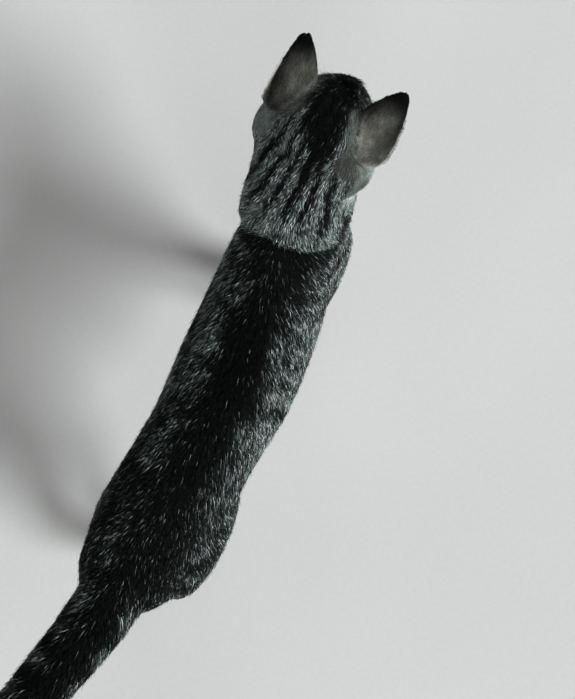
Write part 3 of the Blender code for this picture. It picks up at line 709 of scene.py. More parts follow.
def head_light(places):
    """Lightness of the head, and how white it is round the mouth and the eyes."""
    forward, left, up = to_head(places).T
    out = np.abs(left)
    wobble = noise(places, 0.006, 21) * 1.6
    above = ramp(up - 0.35 * forward, 2, 12)
    brow_line = bell(out + wobble * 0.5, 4.5 + 0.10 * (forward - 20), 2.2)
    brow_line = brow_line + bell(out + wobble * 0.5, 13.5 + 0.35 * (forward - 20), 2.7)
    brow_line = brow_line * above * ramp(forward, 0, 12) * (1 - ramp(forward, 27, 33))
    side_line = bell(out + wobble, 23, 3.6) * ramp(up, 12, 22) * (1 - ramp(forward, -4, 14))
    level = up + 0.30 * (EYE_PLACE[0] - forward)
    behind_eye = 1 - ramp(forward, 10, 16)
    cheek_one = bell(level + wobble, EYE_PLACE[2] + 3, 3.2) * behind_eye * ramp(out, 24, 30)
    cheek_two = bell(level + wobble, EYE_PLACE[2] - 15, 3.4) * (1 - ramp(forward, 16, 24))
    cheek_two = cheek_two * ramp(out, 22, 27)
    light = 0.60 + 0.12 * noise(places, 0.012, 22)
    dark = np.clip(0.95 * brow_line + 0.75 * side_line + 0.9 * (cheek_one + cheek_two), 0, 1)
    light = light * (1 - 0.95 * dark)
    crown = ramp(from_brow(places)[0] + 2 * wobble, -18, 0) * ramp(up - 0.5 * forward, 4, 14)
    light = mix(light, nape_light(places), np.maximum(crown, 1 - ramp(forward, -26, -14)))
    light = mix(light, 0.95, behind_ears(places))

    chin = ramp(-up, 15, 19) * ramp(forward, 14, 26)
    pads = bell(np.hypot(forward - 43, up + 14), 0, 8.5) * (1 - ramp(out, 13, 18))
    white = np.maximum(chin, 0.85 * pads)
    white = np.maximum(white, 0.35 * ramp(-up, 22, 30))
    lips = 1 - ramp(mouth_gap(places), 0.9, 2.0)
    light = light * (1 - lips)
    for side in (LEFT, RIGHT):
        gap = lid_gap(side, places)
        _, along, across = seen_from_eye(side, places)
        spectacle = ramp(gap, 0.8, 1.8) * (1 - ramp(gap, 2.5, 5.5))
        white = np.maximum(white, 0.75 * spectacle * ramp(-along - 2 * across, -12, 6))
    return light, white * (1 - lips)


def ear_places(places):
    """Height along the ear and offset across it, as parts of its length, and the directions
    of its opening and its outer edge."""
    on_left = to_head(places)[:, 1:2] > 0
    (left_root, left_axes), (right_root, right_axes) = ear_frame(LEFT), ear_frame(RIGHT)
    offset = np.where(on_left, (places - left_root) @ left_axes.T, (places - right_root) @ right_axes.T)
    opening, outward = (np.where(on_left, left_axes[row], right_axes[row]) for row in (1, 2))
    return offset[:, 0] / (EAR_LENGTH * MM), offset[:, 2] / (EAR_LENGTH * MM), opening, outward


EAR_HEIGHTS = (0, 0.15, 0.3, 0.5, 0.7, 0.86, 1)
EAR_HALF_WIDTHS = (0.31, 0.31, 0.295, 0.255, 0.195, 0.135, 0.05)


def ear_edge(height, across):
    """How near each place of an ear lies to its edge: 0 in the middle, 1 or -1 at the edge."""
    return across / np.interp(height, EAR_HEIGHTS, EAR_HALF_WIDTHS)


def ear_light():
    """Lightness of the ears, how bare and pink they are inside, and the white of their rims."""
    height, across, opening, outward = ear_places(places)
    edge = np.abs(ear_edge(height, across))
    facing = dot(normals, opening)[:, 0]
    inside = ramp(facing, 0.1, 0.4) * (1 - ramp(height, 0.80, 0.93)) * (1 - ramp(edge, 0.8, 0.95))
    back = 0.52 + 0.38 * bell(height, 0.34, 0.20) * (1 - ramp(edge, 0.2, 0.85))
    back = back * (1 + 0.30 * noise(places, 0.005, 31) + 0.16 * noise(places, 0.002, 32))
    back = back * (1 - 0.95 * ramp(height, 0.58, 0.88)) * (1 - 0.25 * ramp(across, 0.0, 0.2))
    back = back * (1 - 0.5 * ramp(edge, 0.66, 0.97) * ramp(height, 0.2, 0.5)) * 1.12
    rim = ramp(facing, -0.25, 0.0) * (1 - ramp(facing, 0.75, 0.95)) * ramp(edge, 0.84, 0.94)
    rim = rim * (dot(normals, outward)[:, 0] > 0) * (across > 0) * (1 - ramp(height, 0.66, 0.86))
    return mix(back, 0.5, inside), inside, rim


LEG_MIDDLE = (box("hind_paw_left")[0][0] + box("hind_paw_right")[1][0]) / 2


def leg_light():
    """Lightness of the legs, dark bars outside and paler inside, and their whiteness."""
    height = places[:, 2] / MM
    wave = height + 0.25 * places[:, 1] / MM + noise(places, 0.012, 41) * 5
    bar = ramp(np.cos(2 * math.pi * wave / LEG_PITCH), 0.0, 0.6) * (0.55 + 0.35 * noise(places, 0.02, 42))
    inner = ramp(-normals[:, 0] * np.sign(places[:, 0] - LEG_MIDDLE), 0.0, 0.6)
    light = (0.58 + 0.08 * noise(places, 0.01, 43)) * (1 - bar * (1 - 0.75 * inner))
    sole = (1 - ramp(height, 4, 12)) * ramp(-normals[:, 2], -0.2, 0.4) * on("paw")
    return light * (1 - 0.9 * sole), 0.35 * inner * (1 - sole)


def markings():
    """For each vertex, from 0 to 1: lightness, whiteness, bare skin, ticking, which is how far
    light and dark hairs are mixed rather than blended, and the brownish warmth of the ears."""
    reach, _, lift, angle, _ = along_spine(places)
    belly = ramp(np.abs(angle), 2.2, 2.9) * ramp(reach, 60, 110) * (1 - ramp(reach, 340, 380))
    throat = (1 - ramp(lift, -34, -18)) * (1 - ramp(reach, 60, 130))
    head, head_white = head_light(places)
    ears, inside, rim = ear_light()
    legs, leg_white = leg_light()
    torso = on("neck", "trunk", "tail")
    hip = on("upper") * ramp(places[:, 2] / MM, 150, 190)
    limb = on("upper", "lower", "paw") - hip
    light = trunk_light(places) * (torso + hip) + legs * limb + head * on("head") + ears * on("ear")
    light = mix(light, 0.95, behind_ears(places) * on("neck"))
    white = 0.45 * belly * torso + 0.35 * throat * torso + leg_white * limb * 0.8
    white = white + head_white * on("head") + 0.9 * rim * on("ear")
    ticking = 1 - 0.9 * on("ear") - 0.45 * on("head") * face_share()
    smooth = np.maximum(0.85 * behind_ears(places) ** 3, 0.6 * ear_nearness(places))
    ticking = ticking * (1 - smooth * on("head", "neck"))
    warm = np.maximum(on("ear"), ear_nearness(places))
    return [np.clip(values, 0, 1) for values in (light, white, inside * on("ear"), ticking, warm)]


# The sixth colour, for the patches behind the ears, is brighter than the white fur: painted light.
BLACK, SILVER, TAWNY, EAR_GREY, WHITE, PALE_AND_LIT, BARE, LEATHER, BRICK = np.array((
    (0.0036, 0.0038, 0.0041), (0.50, 0.60, 0.585), (0.240, 0.225, 0.170), (0.340, 0.335, 0.275),
    (0.66, 0.64, 0.59), (0.84, 0.93, 0.86), (0.30, 0.185, 0.160), (0.012, 0.010, 0.010),
    (0.165, 0.066, 0.056),
))


def blend(a, b, share):
    """As mix, with one share for each row."""
    return mix(a, b, share[:, None])


def skin_colours():
    """The short underfur: the markings, darker and softer than the hair over them, partly as the
    undercoat's own colour and partly as painted shade deep among the tufts.
    """
    # The factors 0.38, 0.6 and 0.55 darken the underfur: partly the undercoat's own colour, partly painted
    # shade between the tufts.
    shown = blend(mix(SILVER, TAWNY, 0.3) * 0.38, blend(SILVER, EAR_GREY, warm) * 0.6, 1 - ticking)
    # Behind the ears the underfur takes the patches' colour, brightened as painted light.
    shown = blend(shown, PALE_AND_LIT * 0.8, behind_ears(places))
    colours = blend(blend(BLACK, shown, light), WHITE * 0.55, white)
    colours = blend(colours, BARE, 0.8 * bare)
    lips = bell(mouth_gap(places), 0, 1.5) * on("head")
    for side in (LEFT, RIGHT):
        lips = np.maximum(lips, 1 - ramp(lid_gap(side, places), 0.5, 1.3))
    return blend(colours, LEATHER, lips)


lie = lie_of_coat()
light, white, bare, ticking, warm = markings()
paint(skin, "fur", skin_colours())


# ---- where each part of the coat lies on a flat map of the skin
LIMBS = {"fore": ("upper_arm", "forearm", "fore_paw"), "hind": ("thigh", "shank", "hind_paw")}
LEGS = {f"{end}_{tag}": [f"{part}_{tag}" for part in LIMBS[end]] for end in LIMBS for tag in SIDES}
LEG_SLICE = 0.008       # height of the slices whose middles make a leg's axis
LEG_HEIGHT = 0.2


def unrolled_leg(leg, points):
    """How far round the leg's middle and how high each point lies."""
    mine = places[np.isin(owners, [FLESH.index(node) for node in LEGS[leg]])]
    level = np.floor(mine[:, 2] / LEG_SLICE).astype(int)
    levels = np.unique(level)
    middles = np.array([mine[level == at, :2].mean(axis=0) for at in levels])
    x, y = (np.interp(points[:, 2], (levels + 0.5) * LEG_SLICE, middles[:, i]) for i in (0, 1))
    turn = np.arctan2(points[:, 0] - x, points[:, 1] - y) / (2 * math.pi) + 0.5
    return turn, points[:, 2] / LEG_HEIGHT


def unrolled_trunk(points):
    reach, _, _, angle, _ = along_spine(points)
    return angle / (2 * math.pi) + 0.5, reach / TAIL_END


def unrolled_head(points):
    head = unit(to_head(points))
    return np.arctan2(head[:, 1], head[:, 0]) / (2 * math.pi) + 0.5, head[:, 2] * 0.5 + 0.5


def flat_ear(points):
    height, across, _, _ = ear_places(points)
    return across / 0.6 + 0.5, height / 1.1 + 0.05


# Each island: the nodes on it, and its corner and size on the whole skin's map.
TAIL = ["tail_base", "tail_middle", "tail_tip"]
ISLANDS = {
    "trunk": (["neck", "chest", "abdomen", "rump", *TAIL], (0, 0), (0.40, 1)),
    "head": (("head",), (0.40, 0.60), (0.60, 0.40)),
}
for leg, corner in zip(LEGS, ((0.40, 0.30), (0.60, 0.30), (0.40, 0), (0.60, 0))):
    ISLANDS[leg] = (LEGS[leg], corner, (0.20, 0.30))
for tag, low in ("left", 0.30), ("right", 0):
    ISLANDS[f"ear_{tag}_in"] = ((f"ear_{tag}",), (0.80, low), (0.10, 0.30))
    ISLANDS[f"ear_{tag}_out"] = ((), (0.90, low), (0.10, 0.30))
ISLAND_NAMES = list(ISLANDS)
ISLAND_MARGIN = 0.03


def islands_of(node_numbers, points, normals):
    """The number of the island that each point lies on."""
    table = np.zeros(len(FLESH), int)
    for number, (nodes, _, _) in enumerate(ISLANDS.values()):
        table[[FLESH.index(node) for node in nodes]] = number
    found = table[node_numbers]
    _, _, opening, _ = ear_places(points)
    on_ear = np.isin(found, [ISLAND_NAMES.index(f"ear_{tag}_in") for tag in SIDES])
    return found + (on_ear & (dot(normals, opening)[:, 0] < 0))


def on_island(number, points):
    name = ISLAND_NAMES[number]
    if name == "trunk":
        return unrolled_trunk(points)
    if name == "head":
        return unrolled_head(points)
    if name in LEGS:
        return unrolled_leg(name, points)
    return flat_ear(points)


def flat_places(found, points):
    """Place from 0 to 1 across and up its island for each point."""
    flat = np.zeros((len(points), 2))
    for number in np.unique(found):
        mine = found == number
        flat[mine] = np.stack(on_island(number, points[mine]), axis=1)
    return np.clip(flat, 0, 1)


def map_loops(obj, flat):
    layer = obj.data.uv_layers.new(name="OFBake")
    layer.data.foreach_set("uv", np.asarray(flat, np.float32).ravel())


def map_skin():
    middles, facing = places[SKIN_TRIANGLES].mean(axis=1), unit(normals[SKIN_TRIANGLES].mean(axis=1))
    found = islands_of(owners[SKIN_TRIANGLES[:, 0]], middles, facing)
    flat = flat_places(np.repeat(found, 3), places[SKIN_TRIANGLES].reshape(-1, 3)).reshape(-1, 3, 2)
    across = flat[:, :, 0]
    torn = (np.ptp(across, axis=1) > 0.5)[:, None] & (across < 0.5)
    across[torn] = 1
    corner, size = (np.array([island[i] for island in ISLANDS.values()])[found][:, None] for i in (1, 2))
    map_loops(skin, corner + size * (ISLAND_MARGIN + flat * (1 - 2 * ISLAND_MARGIN)))


# ---- the coat
LONG_TUFTS, SHORT_TUFTS = 166_000, 135_000
ROOT_SINK = 0.35         # how far under the skin a tuft starts
# Each kind of tuft: its triangles, and its corners' places across and along its patch.
BENT = (
    ((1, 2, 0), (2, 3, 0), (3, 1, 0), (1, 4, 2), (2, 4, 3), (3, 4, 1)),
    ((0, -1, 0, 1, 0), (-1, 0, 0, 0, 1)),
)
PLAIN = (((0, 1, 3), (1, 2, 3), (2, 0, 3)), ((-1, 0, 1, 0), (-1, -1, -1, 1)))
PATCH = 0.003            # how much of the map one tuft takes
SKIN_TRIANGLES = triangles_of(skin.data)
SKIN_TREE = BVHTree.FromPolygons(places.tolist(), SKIN_TRIANGLES.tolist())


def hair_sizes():
    """Length, width and closeness of the tufts at each vertex."""
    face = face_share()
    reach, _, _, angle, _ = along_spine(places)
    ledge = bell(reach, ledge_reach(places, angle) - 5, 7) * on("neck")
    behind = nape_share(places) * on("head")
    neck_length, neck_width, neck_closeness = COAT["neck"][1:]
    length = mix(coat_table(1) * (1 - 0.62 * face), neck_length, behind) * (1 + 0.25 * ledge)
    width = mix(coat_table(2) * (1 - 0.35 * face), neck_width, behind)
    closeness = mix(coat_table(3) * (1 + 1.0 * face) * (1 - 0.8 * bare), neck_closeness, behind)
    closeness = closeness * (1 - 0.35 * ramp(-normals[:, 2], 0.5, 0.95))
    for side in (LEFT, RIGHT):
        closeness = closeness * ramp(lid_gap(side, places), 0.7, 1.4)
    nose = (to_head(places) - NOSE_PLACE) / (NOSE_RADII + 0.8)
    closeness = closeness * ramp(distance(nose), 0.95, 1.1)
    closeness = closeness * (1 - on("head") * (1 - ramp(mouth_gap(places), 0.5, 1.3)))
    return length, width, closeness * ramp(places[:, 2], 0.0012, 0.004)


LENGTH, WIDTH, CLOSENESS = hair_sizes()


def scattered_roots(count, allowed):
    """Triangles and corner weights of evenly scattered roots, closer where the coat is."""
    corners = places[SKIN_TRIANGLES]
    areas = distance(np.cross(corners[:, 1] - corners[:, 0], corners[:, 2] - corners[:, 0])) / 2
    wanted = areas * CLOSENESS[SKIN_TRIANGLES].mean(axis=1) * allowed
    centres = corners.mean(axis=1)
    order = np.lexsort(np.floor(centres / 0.004).T)
    total = np.cumsum(wanted[order])
    picks = (np.arange(count) + random.random(count)) / count * total[-1]
    chosen = order[np.minimum(np.searchsorted(total, picks), len(order) - 1)]
    a, b = random.random(count), random.random(count)
    flip = a + b > 1
    a[flip], b[flip] = 1 - a[flip], 1 - b[flip]
    return chosen, np.stack([1 - a - b, a, b], axis=1)


class Roots:
    """Where tufts grow, and the skin's values there."""

    def __init__(self, count, allowed):
        self.chosen, self.weights = scattered_roots(count, allowed)
        self.count = count
        self.places = self.of(places)
        self.up = unit(self.of(normals))
        self.nodes = owners[SKIN_TRIANGLES[self.chosen, 0]]

    def of(self, values):
        picked = values[SKIN_TRIANGLES[self.chosen]]
        weights = self.weights if values.ndim == 1 else self.weights[:, :, None]
        return (picked * weights).sum(axis=1)


def dropped_on_skin(points):
    """For each point, the nearest place on the skin and its normal."""
    feet, ups = np.empty_like(points), np.empty_like(points)
    for i, point in enumerate(points.tolist()):
        feet[i], ups[i], _, _ = SKIN_TREE.find_nearest(point)
    return feet, ups


def ring(centre, along, outward, half, thick):
    """Three corners round a hair that runs along: left, top and right."""
    across = unit(np.cross(outward, along)) * half[:, None]
    return centre - across, centre + outward * thick[:, None], centre + across


def hair_colours(roots):
    """Colours of root, middle and tip: black, or banded with silver."""
    toss, tone, end = (random.random(roots.count) for _ in range(3))
    light_here = roots.of(light)
    silver = blend(SILVER, TAWNY, 0.55 * np.clip(1.2 * tone - 0.2, 0, 1))
    silver = silver * ((0.30 + 1.40 * end ** 1.8) * mix(0.35, 1, ramp(light_here, 0.08, 0.5)))[:, None]
    black = BLACK * (0.5 + 1.5 * tone)[:, None]
    dim = black + silver * 0.16 * light_here[:, None]
    tossed = np.where((toss < 0.84 * light_here ** 1.1)[:, None], silver, dim)
    even = blend(mix(SILVER, WHITE, 0.5), EAR_GREY, roots.of(warm))
    # Behind the ears the hair takes the patches' colour, brightened as painted light.
    even = blend(even, PALE_AND_LIT, behind_ears(roots.places)) * (0.55 + 0.9 * end)[:, None]
    body = blend(blend(black, even, light_here ** 1.3), tossed, roots.of(ticking))
    pale = WHITE * (0.65 + 0.45 * tone)[:, None]
    body = blend(body, pale, ramp(roots.of(white) + 0.5 * (toss - 0.5), 0.25, 0.7))
    body = blend(body, BARE * 1.3, 0.5 * roots.of(bare))
    # Roots and tips are darker as banding; on the patches behind the ears they are lifted towards the
    # body's colour, painted light.
    patch = behind_ears(roots.places) ** 2
    root_tone, tip_tone = mix(0.22, 0.85, patch), mix(mix(0.30, 0.95, end), 1, patch)
    return body * root_tone[:, None], body, body * tip_tone[:, None]


RUFFLE_RISE = 8.5       # the most that a tip on the crown stands up, in millimetres


def crown_ruffle(points):
    """1 where the hair stands ruffled, on the crown between the ears."""
    forward, left, up = to_head(points).T
    clumps = 0.15 + 0.85 * ramp(noise(points, 0.006, 61), -0.1, 0.35)
    return bell(np.hypot(forward - 12, left - CROWN_SIDE), 0, 20) * ramp(up, 14, 24) * clumps


def combed(roots):
    """Direction, length and width of each tuft, and how high its middle and tip stand."""
    ruffle = crown_ruffle(roots.places)
    flow = turned(lie, normals, noise(places, 0.016, 51) * 0.18)
    turn = random.normal(0, 0.14, roots.count) + noise(roots.places, 0.006, 52) * (0.2 + 1.9 * ruffle)
    flow = turned(along_skin(roots.of(flow), roots.up), roots.up, turn)
    length = (roots.of(LENGTH) * random.normal(1, 0.16, roots.count).clip(0.6, 1.45) + 4 * ruffle) * MM
    width = roots.of(WIDTH) * random.uniform(0.7, 1.15, roots.count) * MM
    deep = roots.of(depth) * (1 - 0.6 * behind_ears(roots.places)) * MM
    stray = (random.random(roots.count) < 0.07) * 0.5
    raised = RUFFLE_RISE * MM * ruffle * random.uniform(0.3, 1.0, roots.count)
    middle_rise = deep * (random.uniform(0.6, 0.95, roots.count) + 0.4 * stray) + 0.4 * raised
    tip_rise = deep * (random.uniform(0.5, 1.15, roots.count) + stray) + raised
    return flow, length, width, middle_rise, tip_rise


def long_tufts():
    """Bent spindles: a root, a ring at the middle, and a tip."""
    roots = Roots(LONG_TUFTS, 1 - SHORT_FACES)
    flow, length, width, middle_rise, tip_rise = combed(roots)
    foot, foot_up = dropped_on_skin(roots.places + flow * (length * 0.5)[:, None])
    second = along_skin(flow, foot_up)
    end, end_up = dropped_on_skin(foot + second * (length * 0.5)[:, None])
    middle = foot + foot_up * middle_rise[:, None]
    tip = end + end_up * tip_rise[:, None]
    base = roots.places - roots.up * ROOT_SINK * MM
    corners = np.stack([base, *ring(middle, second, foot_up, width * 0.50, width * 0.40), tip], axis=1)
    return roots, corners, np.repeat(np.stack(hair_colours(roots), axis=1), (1, 3, 1), axis=1)


def short_tufts():
    """Straight spikes for the short hair of head, ears and paws."""
    roots = Roots(SHORT_TUFTS, SHORT_FACES)
    flow, length, width, _, tip_rise = combed(roots)
    end, end_up = dropped_on_skin(roots.places + flow * length[:, None])
    tip = end + end_up * (tip_rise + 0.1 * MM)[:, None]
    base = roots.places - roots.up * ROOT_SINK * 0.5 * MM
    corners = np.stack([*ring(base, flow, roots.up, width * 0.5, width * 0.55), tip], axis=1)
    root, body, _ = hair_colours(roots)
    return roots, corners, np.repeat(np.stack([mix(root, body, 0.45), body], axis=1), (3, 1), axis=1)


short = on("head", "ear", "paw") - nape_share(places) * on("head")
SHORT_FACES = short[SKIN_TRIANGLES].mean(axis=1) > 0.5
COAT_NODES = {
    "coat_ears": ["ear_left", "ear_right"], "coat_neck": ["neck"], "coat_chest": ["chest"],
    "coat_abdomen": ["abdomen"], "coat_rump": ["rump"], "coat_tail": TAIL,
}
for part, pieces in {
    "thigh": "thighs", "upper_arm": "arms", "forearm": "forearms", "shank": "shanks",
    "fore_paw": "fore_paws", "hind_paw": "hind_paws",
}.items():
    COAT_NODES["coat_" + pieces] = [f"{part}_{tag}" for tag in SIDES]


def joined_tufts(name, corners, colours, kind, root_flat):
    """One mesh of many tufts; each lies on the map as a small patch at its root's place."""
    count, size = corners.shape[:2]
    triangles, patch = kind
    faces = np.array(triangles)[None] + np.arange(count)[:, None, None] * size
    coat = bpy.data.meshes.new(name)
    coat.vertices.add(count * size)
    coat.vertices.foreach_set("co", corners.astype(np.float32).ravel())
    coat.loops.add(faces.size)
    coat.loops.foreach_set("vertex_index", faces.astype(np.int32).ravel())
    coat.polygons.add(faces.size // 3)
    coat.polygons.foreach_set("loop_start", np.arange(0, faces.size, 3, dtype=np.int32))
    coat.polygons.foreach_set("use_smooth", np.ones(faces.size // 3, bool))
    coat.update(calc_edges=True)
    obj = linked(name, coat)
    paint(obj, "fur", colours.reshape(-1, 3))
    flat = root_flat[:, None] + np.array(patch).T[None] * PATCH / 2
    map_loops(obj, flat.reshape(-1, 2)[faces.ravel()])
    return obj


def spread_over_map(found, flat):
    """Islands side by side, each scaled so that the piece fills its map."""
    numbers = np.unique(found)
    for place, number in enumerate(numbers):
        mine = found == number
        low, high = flat[mine].min(axis=0), flat[mine].max(axis=0)
        flat[mine] = (flat[mine] - low) / np.maximum(high - low, 1e-6)
        flat[mine, 0] = (place + 0.02 + 0.96 * flat[mine, 0]) / len(numbers)
    return 0.01 + 0.98 * flat


def coat_groups(roots):
    """The roots of each coat piece."""
    for name, nodes in COAT_NODES.items():
        yield name, np.isin(roots.nodes, [FLESH.index(node) for node in nodes])
    on_head = roots.nodes == FLESH.index("head")
    on_left = to_head(roots.places)[:, 1] > 0
    yield "coat_head_left", on_head & on_left
    yield "coat_head_right", on_head & ~on_left


def add_coat():
    kinds = ("", BENT, long_tufts()), ("_short", PLAIN, short_tufts())
    for ending, kind, (roots, corners, colours) in kinds:
        found = islands_of(roots.nodes, roots.places, roots.up)
        flat = flat_places(found, roots.places)
        for name, mine in coat_groups(roots):
            if mine.any():
                root_flat = spread_over_map(found[mine], flat[mine])
                coat = joined_tufts(name + ending, corners[mine], colours[mine], kind, root_flat)
                place_piece(coat, fur_material, "ear_coat" if name == "coat_ears" else "tabby_coat")


# ---- materials
class Surface:
    """A material built from nodes; inputs are numbers or other nodes' outputs."""

    def __init__(self, name, **constants):
        self.material = bpy.data.materials.new(name)
        self.material.use_nodes = True
        self.tree = self.material.node_tree
        self.shader = self.tree.nodes["Principled BSDF"]
        self.give(**constants)

    def plug(self, socket, value):
        if isinstance(value, bpy.types.NodeSocket):
            self.tree.links.new(value, socket)
        else:
            socket.default_value = value

    def give(self, **inputs):
        for key, value in inputs.items():
            self.plug(self.shader.inputs[key.replace("_", " ")], value)

    def node(self, kind, inputs=(), **settings):
        made = self.tree.nodes.new("ShaderNode" + kind)
        for key, value in settings.items():
            setattr(made, key, value)
        for key, value in dict(inputs).items():
            self.plug(made.inputs[key], value)
        return made

    def math(self, operation, a, b=0.0):
        return self.node("Math", {0: a, 1: b}, operation=operation).outputs[0]

    def attribute(self, name, output="Color"):
        return self.node("Attribute", attribute_name=name).outputs[output]

    def spots(self, scale, detail=3.0, stretch=(1, 1, 1), place=None):
        """Noise from 0 to 1, in metres unless a place is given."""
        if place is None:
            place = self.node("TexCoord").outputs["Object"]
        place = self.node("Mapping", {"Vector": place, "Scale": stretch}).outputs[0]
        return self.node("TexNoise", {"Vector": place, "Scale": scale, "Detail": detail}).outputs[0]

    def between(self, value, low, high, start=0.0, end=1.0):
        inputs = {"Value": value, "From Min": low, "From Max": high, "To Min": start, "To Max": end}
        return self.node("MapRange", inputs, interpolation_type="SMOOTHSTEP").outputs[0]

    def blend(self, share, a, b, blend_type="MIX"):
        inputs = {0: share, 6: a, 7: b}
        return self.node("Mix", inputs, data_type="RGBA", blend_type=blend_type).outputs[2]

    def toned(self, colour, spots, darkest, lightest, low=0.3, high=0.7):
        """A colour made darker and lighter by spots; both tones are factors about 1."""
        tone = self.between(spots, low, high, darkest, lightest)
        grey = self.node("CombineColor", {0: tone, 1: tone, 2: tone}).outputs[0]
        return self.blend(1.0, colour, grey, "MULTIPLY")

    def bump(self, height, depth, strength=1.0):
        inputs = {"Height": height, "Distance": depth, "Strength": strength}
        self.give(Normal=self.node("Bump", inputs).outputs[0])


def fur_surface():
    surface = Surface("fur", Roughness=0.5, Specular_IOR_Level=0.07)
    grain = surface.spots(900.0)
    surface.give(Base_Color=surface.toned(surface.attribute("fur"), grain, 0.8, 1.2, 0.25, 0.75))
    return surface.material


def underfur_surface():
    surface = Surface("underfur", Roughness=0.75, Specular_IOR_Level=0.07)
    flat = surface.node("UVMap", uv_map="OFBake").outputs[0]
    strands = surface.spots(1.0, 3.0, (520, 60, 1), flat)
    surface.give(Base_Color=surface.toned(surface.attribute("fur"), strands, 0.6, 1.35))
    surface.bump(strands, 0.0006)
    return surface.material


def eye_surface():
    """An iris with fibres round a slit pupil; gaze holds the place across and up, in radii."""
    surface = Surface("eye", Roughness=0.25, Specular_IOR_Level=0.15, Coat_Weight=0.35, Coat_Roughness=0.03)
    place = surface.attribute("gaze", "Vector")
    across, up = surface.node("SeparateXYZ", {0: place}).outputs[:2]
    radius = surface.node("VectorMath", {0: place}, operation="LENGTH").outputs["Value"]
    ray = surface.node("VectorMath", {0: place}, operation="NORMALIZE").outputs[0]
    fibres = surface.spots(7.0, 4.0, (1, 1, 1), ray)
    flecks = surface.spots(9.0, 3.0, (1, 1, 1), place)
    iris = surface.blend(surface.between(radius, 0.20, 0.66), (0.30, 0.36, 0.07, 1), (0.42, 0.40, 0.10, 1))
    iris = surface.toned(surface.toned(iris, fibres, 0.55, 1.3), flecks, 0.8, 1.15)
    white = surface.blend(flecks, (0.20, 0.15, 0.12, 1), (0.34, 0.28, 0.24, 1))
    ball = surface.blend(surface.between(radius, 0.80, 0.86), iris, white)
    ring_in, ring_out = surface.between(radius, 0.70, 0.79), surface.between(radius, 0.90, 0.84)
    ball = surface.blend(surface.math("MULTIPLY", ring_in, ring_out), ball, (0.015, 0.014, 0.010, 1))
    narrowing = surface.math("POWER", surface.math("DIVIDE", up, 0.60), 2.0)
    slit = surface.math("SUBTRACT", 0.20, surface.math("MULTIPLY", narrowing, 0.20))
    pupil = surface.between(surface.math("SUBTRACT", slit, surface.math("ABSOLUTE", across)), -0.015, 0.02)
    surface.give(Base_Color=surface.blend(pupil, ball, (0.003, 0.003, 0.003, 1)))
    return surface.material


def tinted_surface(name, roughness, scale, darkest, lightest, bump=0):
    """Nose leather, lids, whiskers and claws: the piece's tint with a fine grain."""
    surface = Surface(name, Roughness=roughness, Specular_IOR_Level=0.5)
    grain = surface.spots(scale, 2.0)
    surface.give(Base_Color=surface.toned(surface.attribute("tint"), grain, darkest, lightest))
    if bump:
        surface.bump(grain, bump)
    return surface.material


# ---- eyes, lids, nose, whiskers and claws
def ringed(name, rings, closed=False):
    """A form through rings of corners, whose ends are shut or, when closed, meet each other.

    Only a form with shut ends has its faces turned outward.
    """
    count, size = rings.shape[:2]
    faces = [] if closed else [range(size), range(count * size - 1, (count - 1) * size - 1, -1)]
    for i, k in itertools.product(range(count - 1 + closed), range(size)):
        here, ahead, after = i * size, (i + 1) % count * size, (k + 1) % size
        faces.append((here + k, ahead + k, ahead + after, here + after))
    obj = mesh_object(name, rings.reshape(-1, 3), faces)
    if closed:
        return obj
    bm = bmesh.new()
    bm.from_mesh(obj.data)
    bmesh.ops.recalc_face_normals(bm, faces=bm.faces)
    bm.to_mesh(obj.data)
    bm.free()
    return obj


def joined(name, pieces):
    """Several objects as one."""
    with bpy.context.temp_override(active_object=pieces[0], selected_editable_objects=pieces):
        bpy.ops.object.join()
    pieces[0].name = name
    return pieces[0]


def circle(sides):
    return 2 * np.pi * np.arange(sides) / sides


def ball(polar, sides):
    """Places on a unit ball, ahead, left and up: a ring for each angle from straight ahead."""
    polar, turns = polar[:, None], circle(sides)[None]
    parts = np.cos(polar), np.sin(polar) * np.cos(turns), np.sin(polar) * np.sin(turns)
    return np.stack(np.broadcast_arrays(*parts), axis=2)


def spokes(across, upward, sides):
    """For each point of a line, directions all round it."""
    turns = circle(sides)[None, :, None]
    return across[:, None] * np.cos(turns) + upward[:, None] * np.sin(turns)


def rod(at, sunk, direction, bend, length, radii, sides=5, steps=12):
    """A bent hair or claw from the skin near a place, tapered between two radii."""
    root, up = (found[0] for found in dropped_on_skin(at[None]))
    t = np.linspace(0, 1, steps)[:, None]
    line = root - up * sunk * MM + length * MM * (direction * t + bend * t * t)
    along = unit(np.gradient(line, axis=0))
    across = unit(np.cross(along, (0.1, 0.2, 1.0)))
    thick = np.linspace(*radii, steps)[:, None, None] * MM
    return ringed("rod", line[:, None] + spokes(across, np.cross(across, along), sides) * thick)


def place_piece(obj, material, slot, *replaced):
    obj.data.materials.append(material)
    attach(obj, "root")
    if replaced:
        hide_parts(*replaced)


CORNEA_RISE, CORNEA_EDGE = 0.8, 0.85     # millimetres, and radians from the gaze
EYE_SUNK = 0.15          # how much smaller the eyeball is than its solid
EYE_RINGS, EYE_SIDES = 60, 80
NOSE_RINGS, NOSE_SIDES = 44, 72


def add_eyes():
    material = eye_surface()
    polar = np.linspace(0.01, math.pi - 0.01, EYE_RINGS)
    local = ball(polar, EYE_SIDES)
    radius = EYE_RADIUS + CORNEA_RISE * (1 - np.minimum(polar / CORNEA_EDGE, 1) ** 2) ** 2 - EYE_SUNK
    for tag, side in SIDES.items():
        rings = EYE_CENTRE[side] + (local * radius[:, None, None] * MM) @ eye_axes(side)
        eye = ringed(f"eyeball_{tag}", rings)
        paint(eye, "gaze", np.roll(local.reshape(-1, 3), -1, axis=1) * (1, 1, 0))
        place_piece(eye, material, "eye_glass", f"eye_{tag}")


LID_ROUND = 0.62         # half the thickness of a lid's dark rim
LID_WIDENING = 1.25      # how much wider than thick the rim is
LID_STEPS, LID_SIDES = 96, 8
LEATHER_GRAIN = (1600.0, 0.8, 1.2, 0.0002)      # scale, darkest and lightest tone, bump


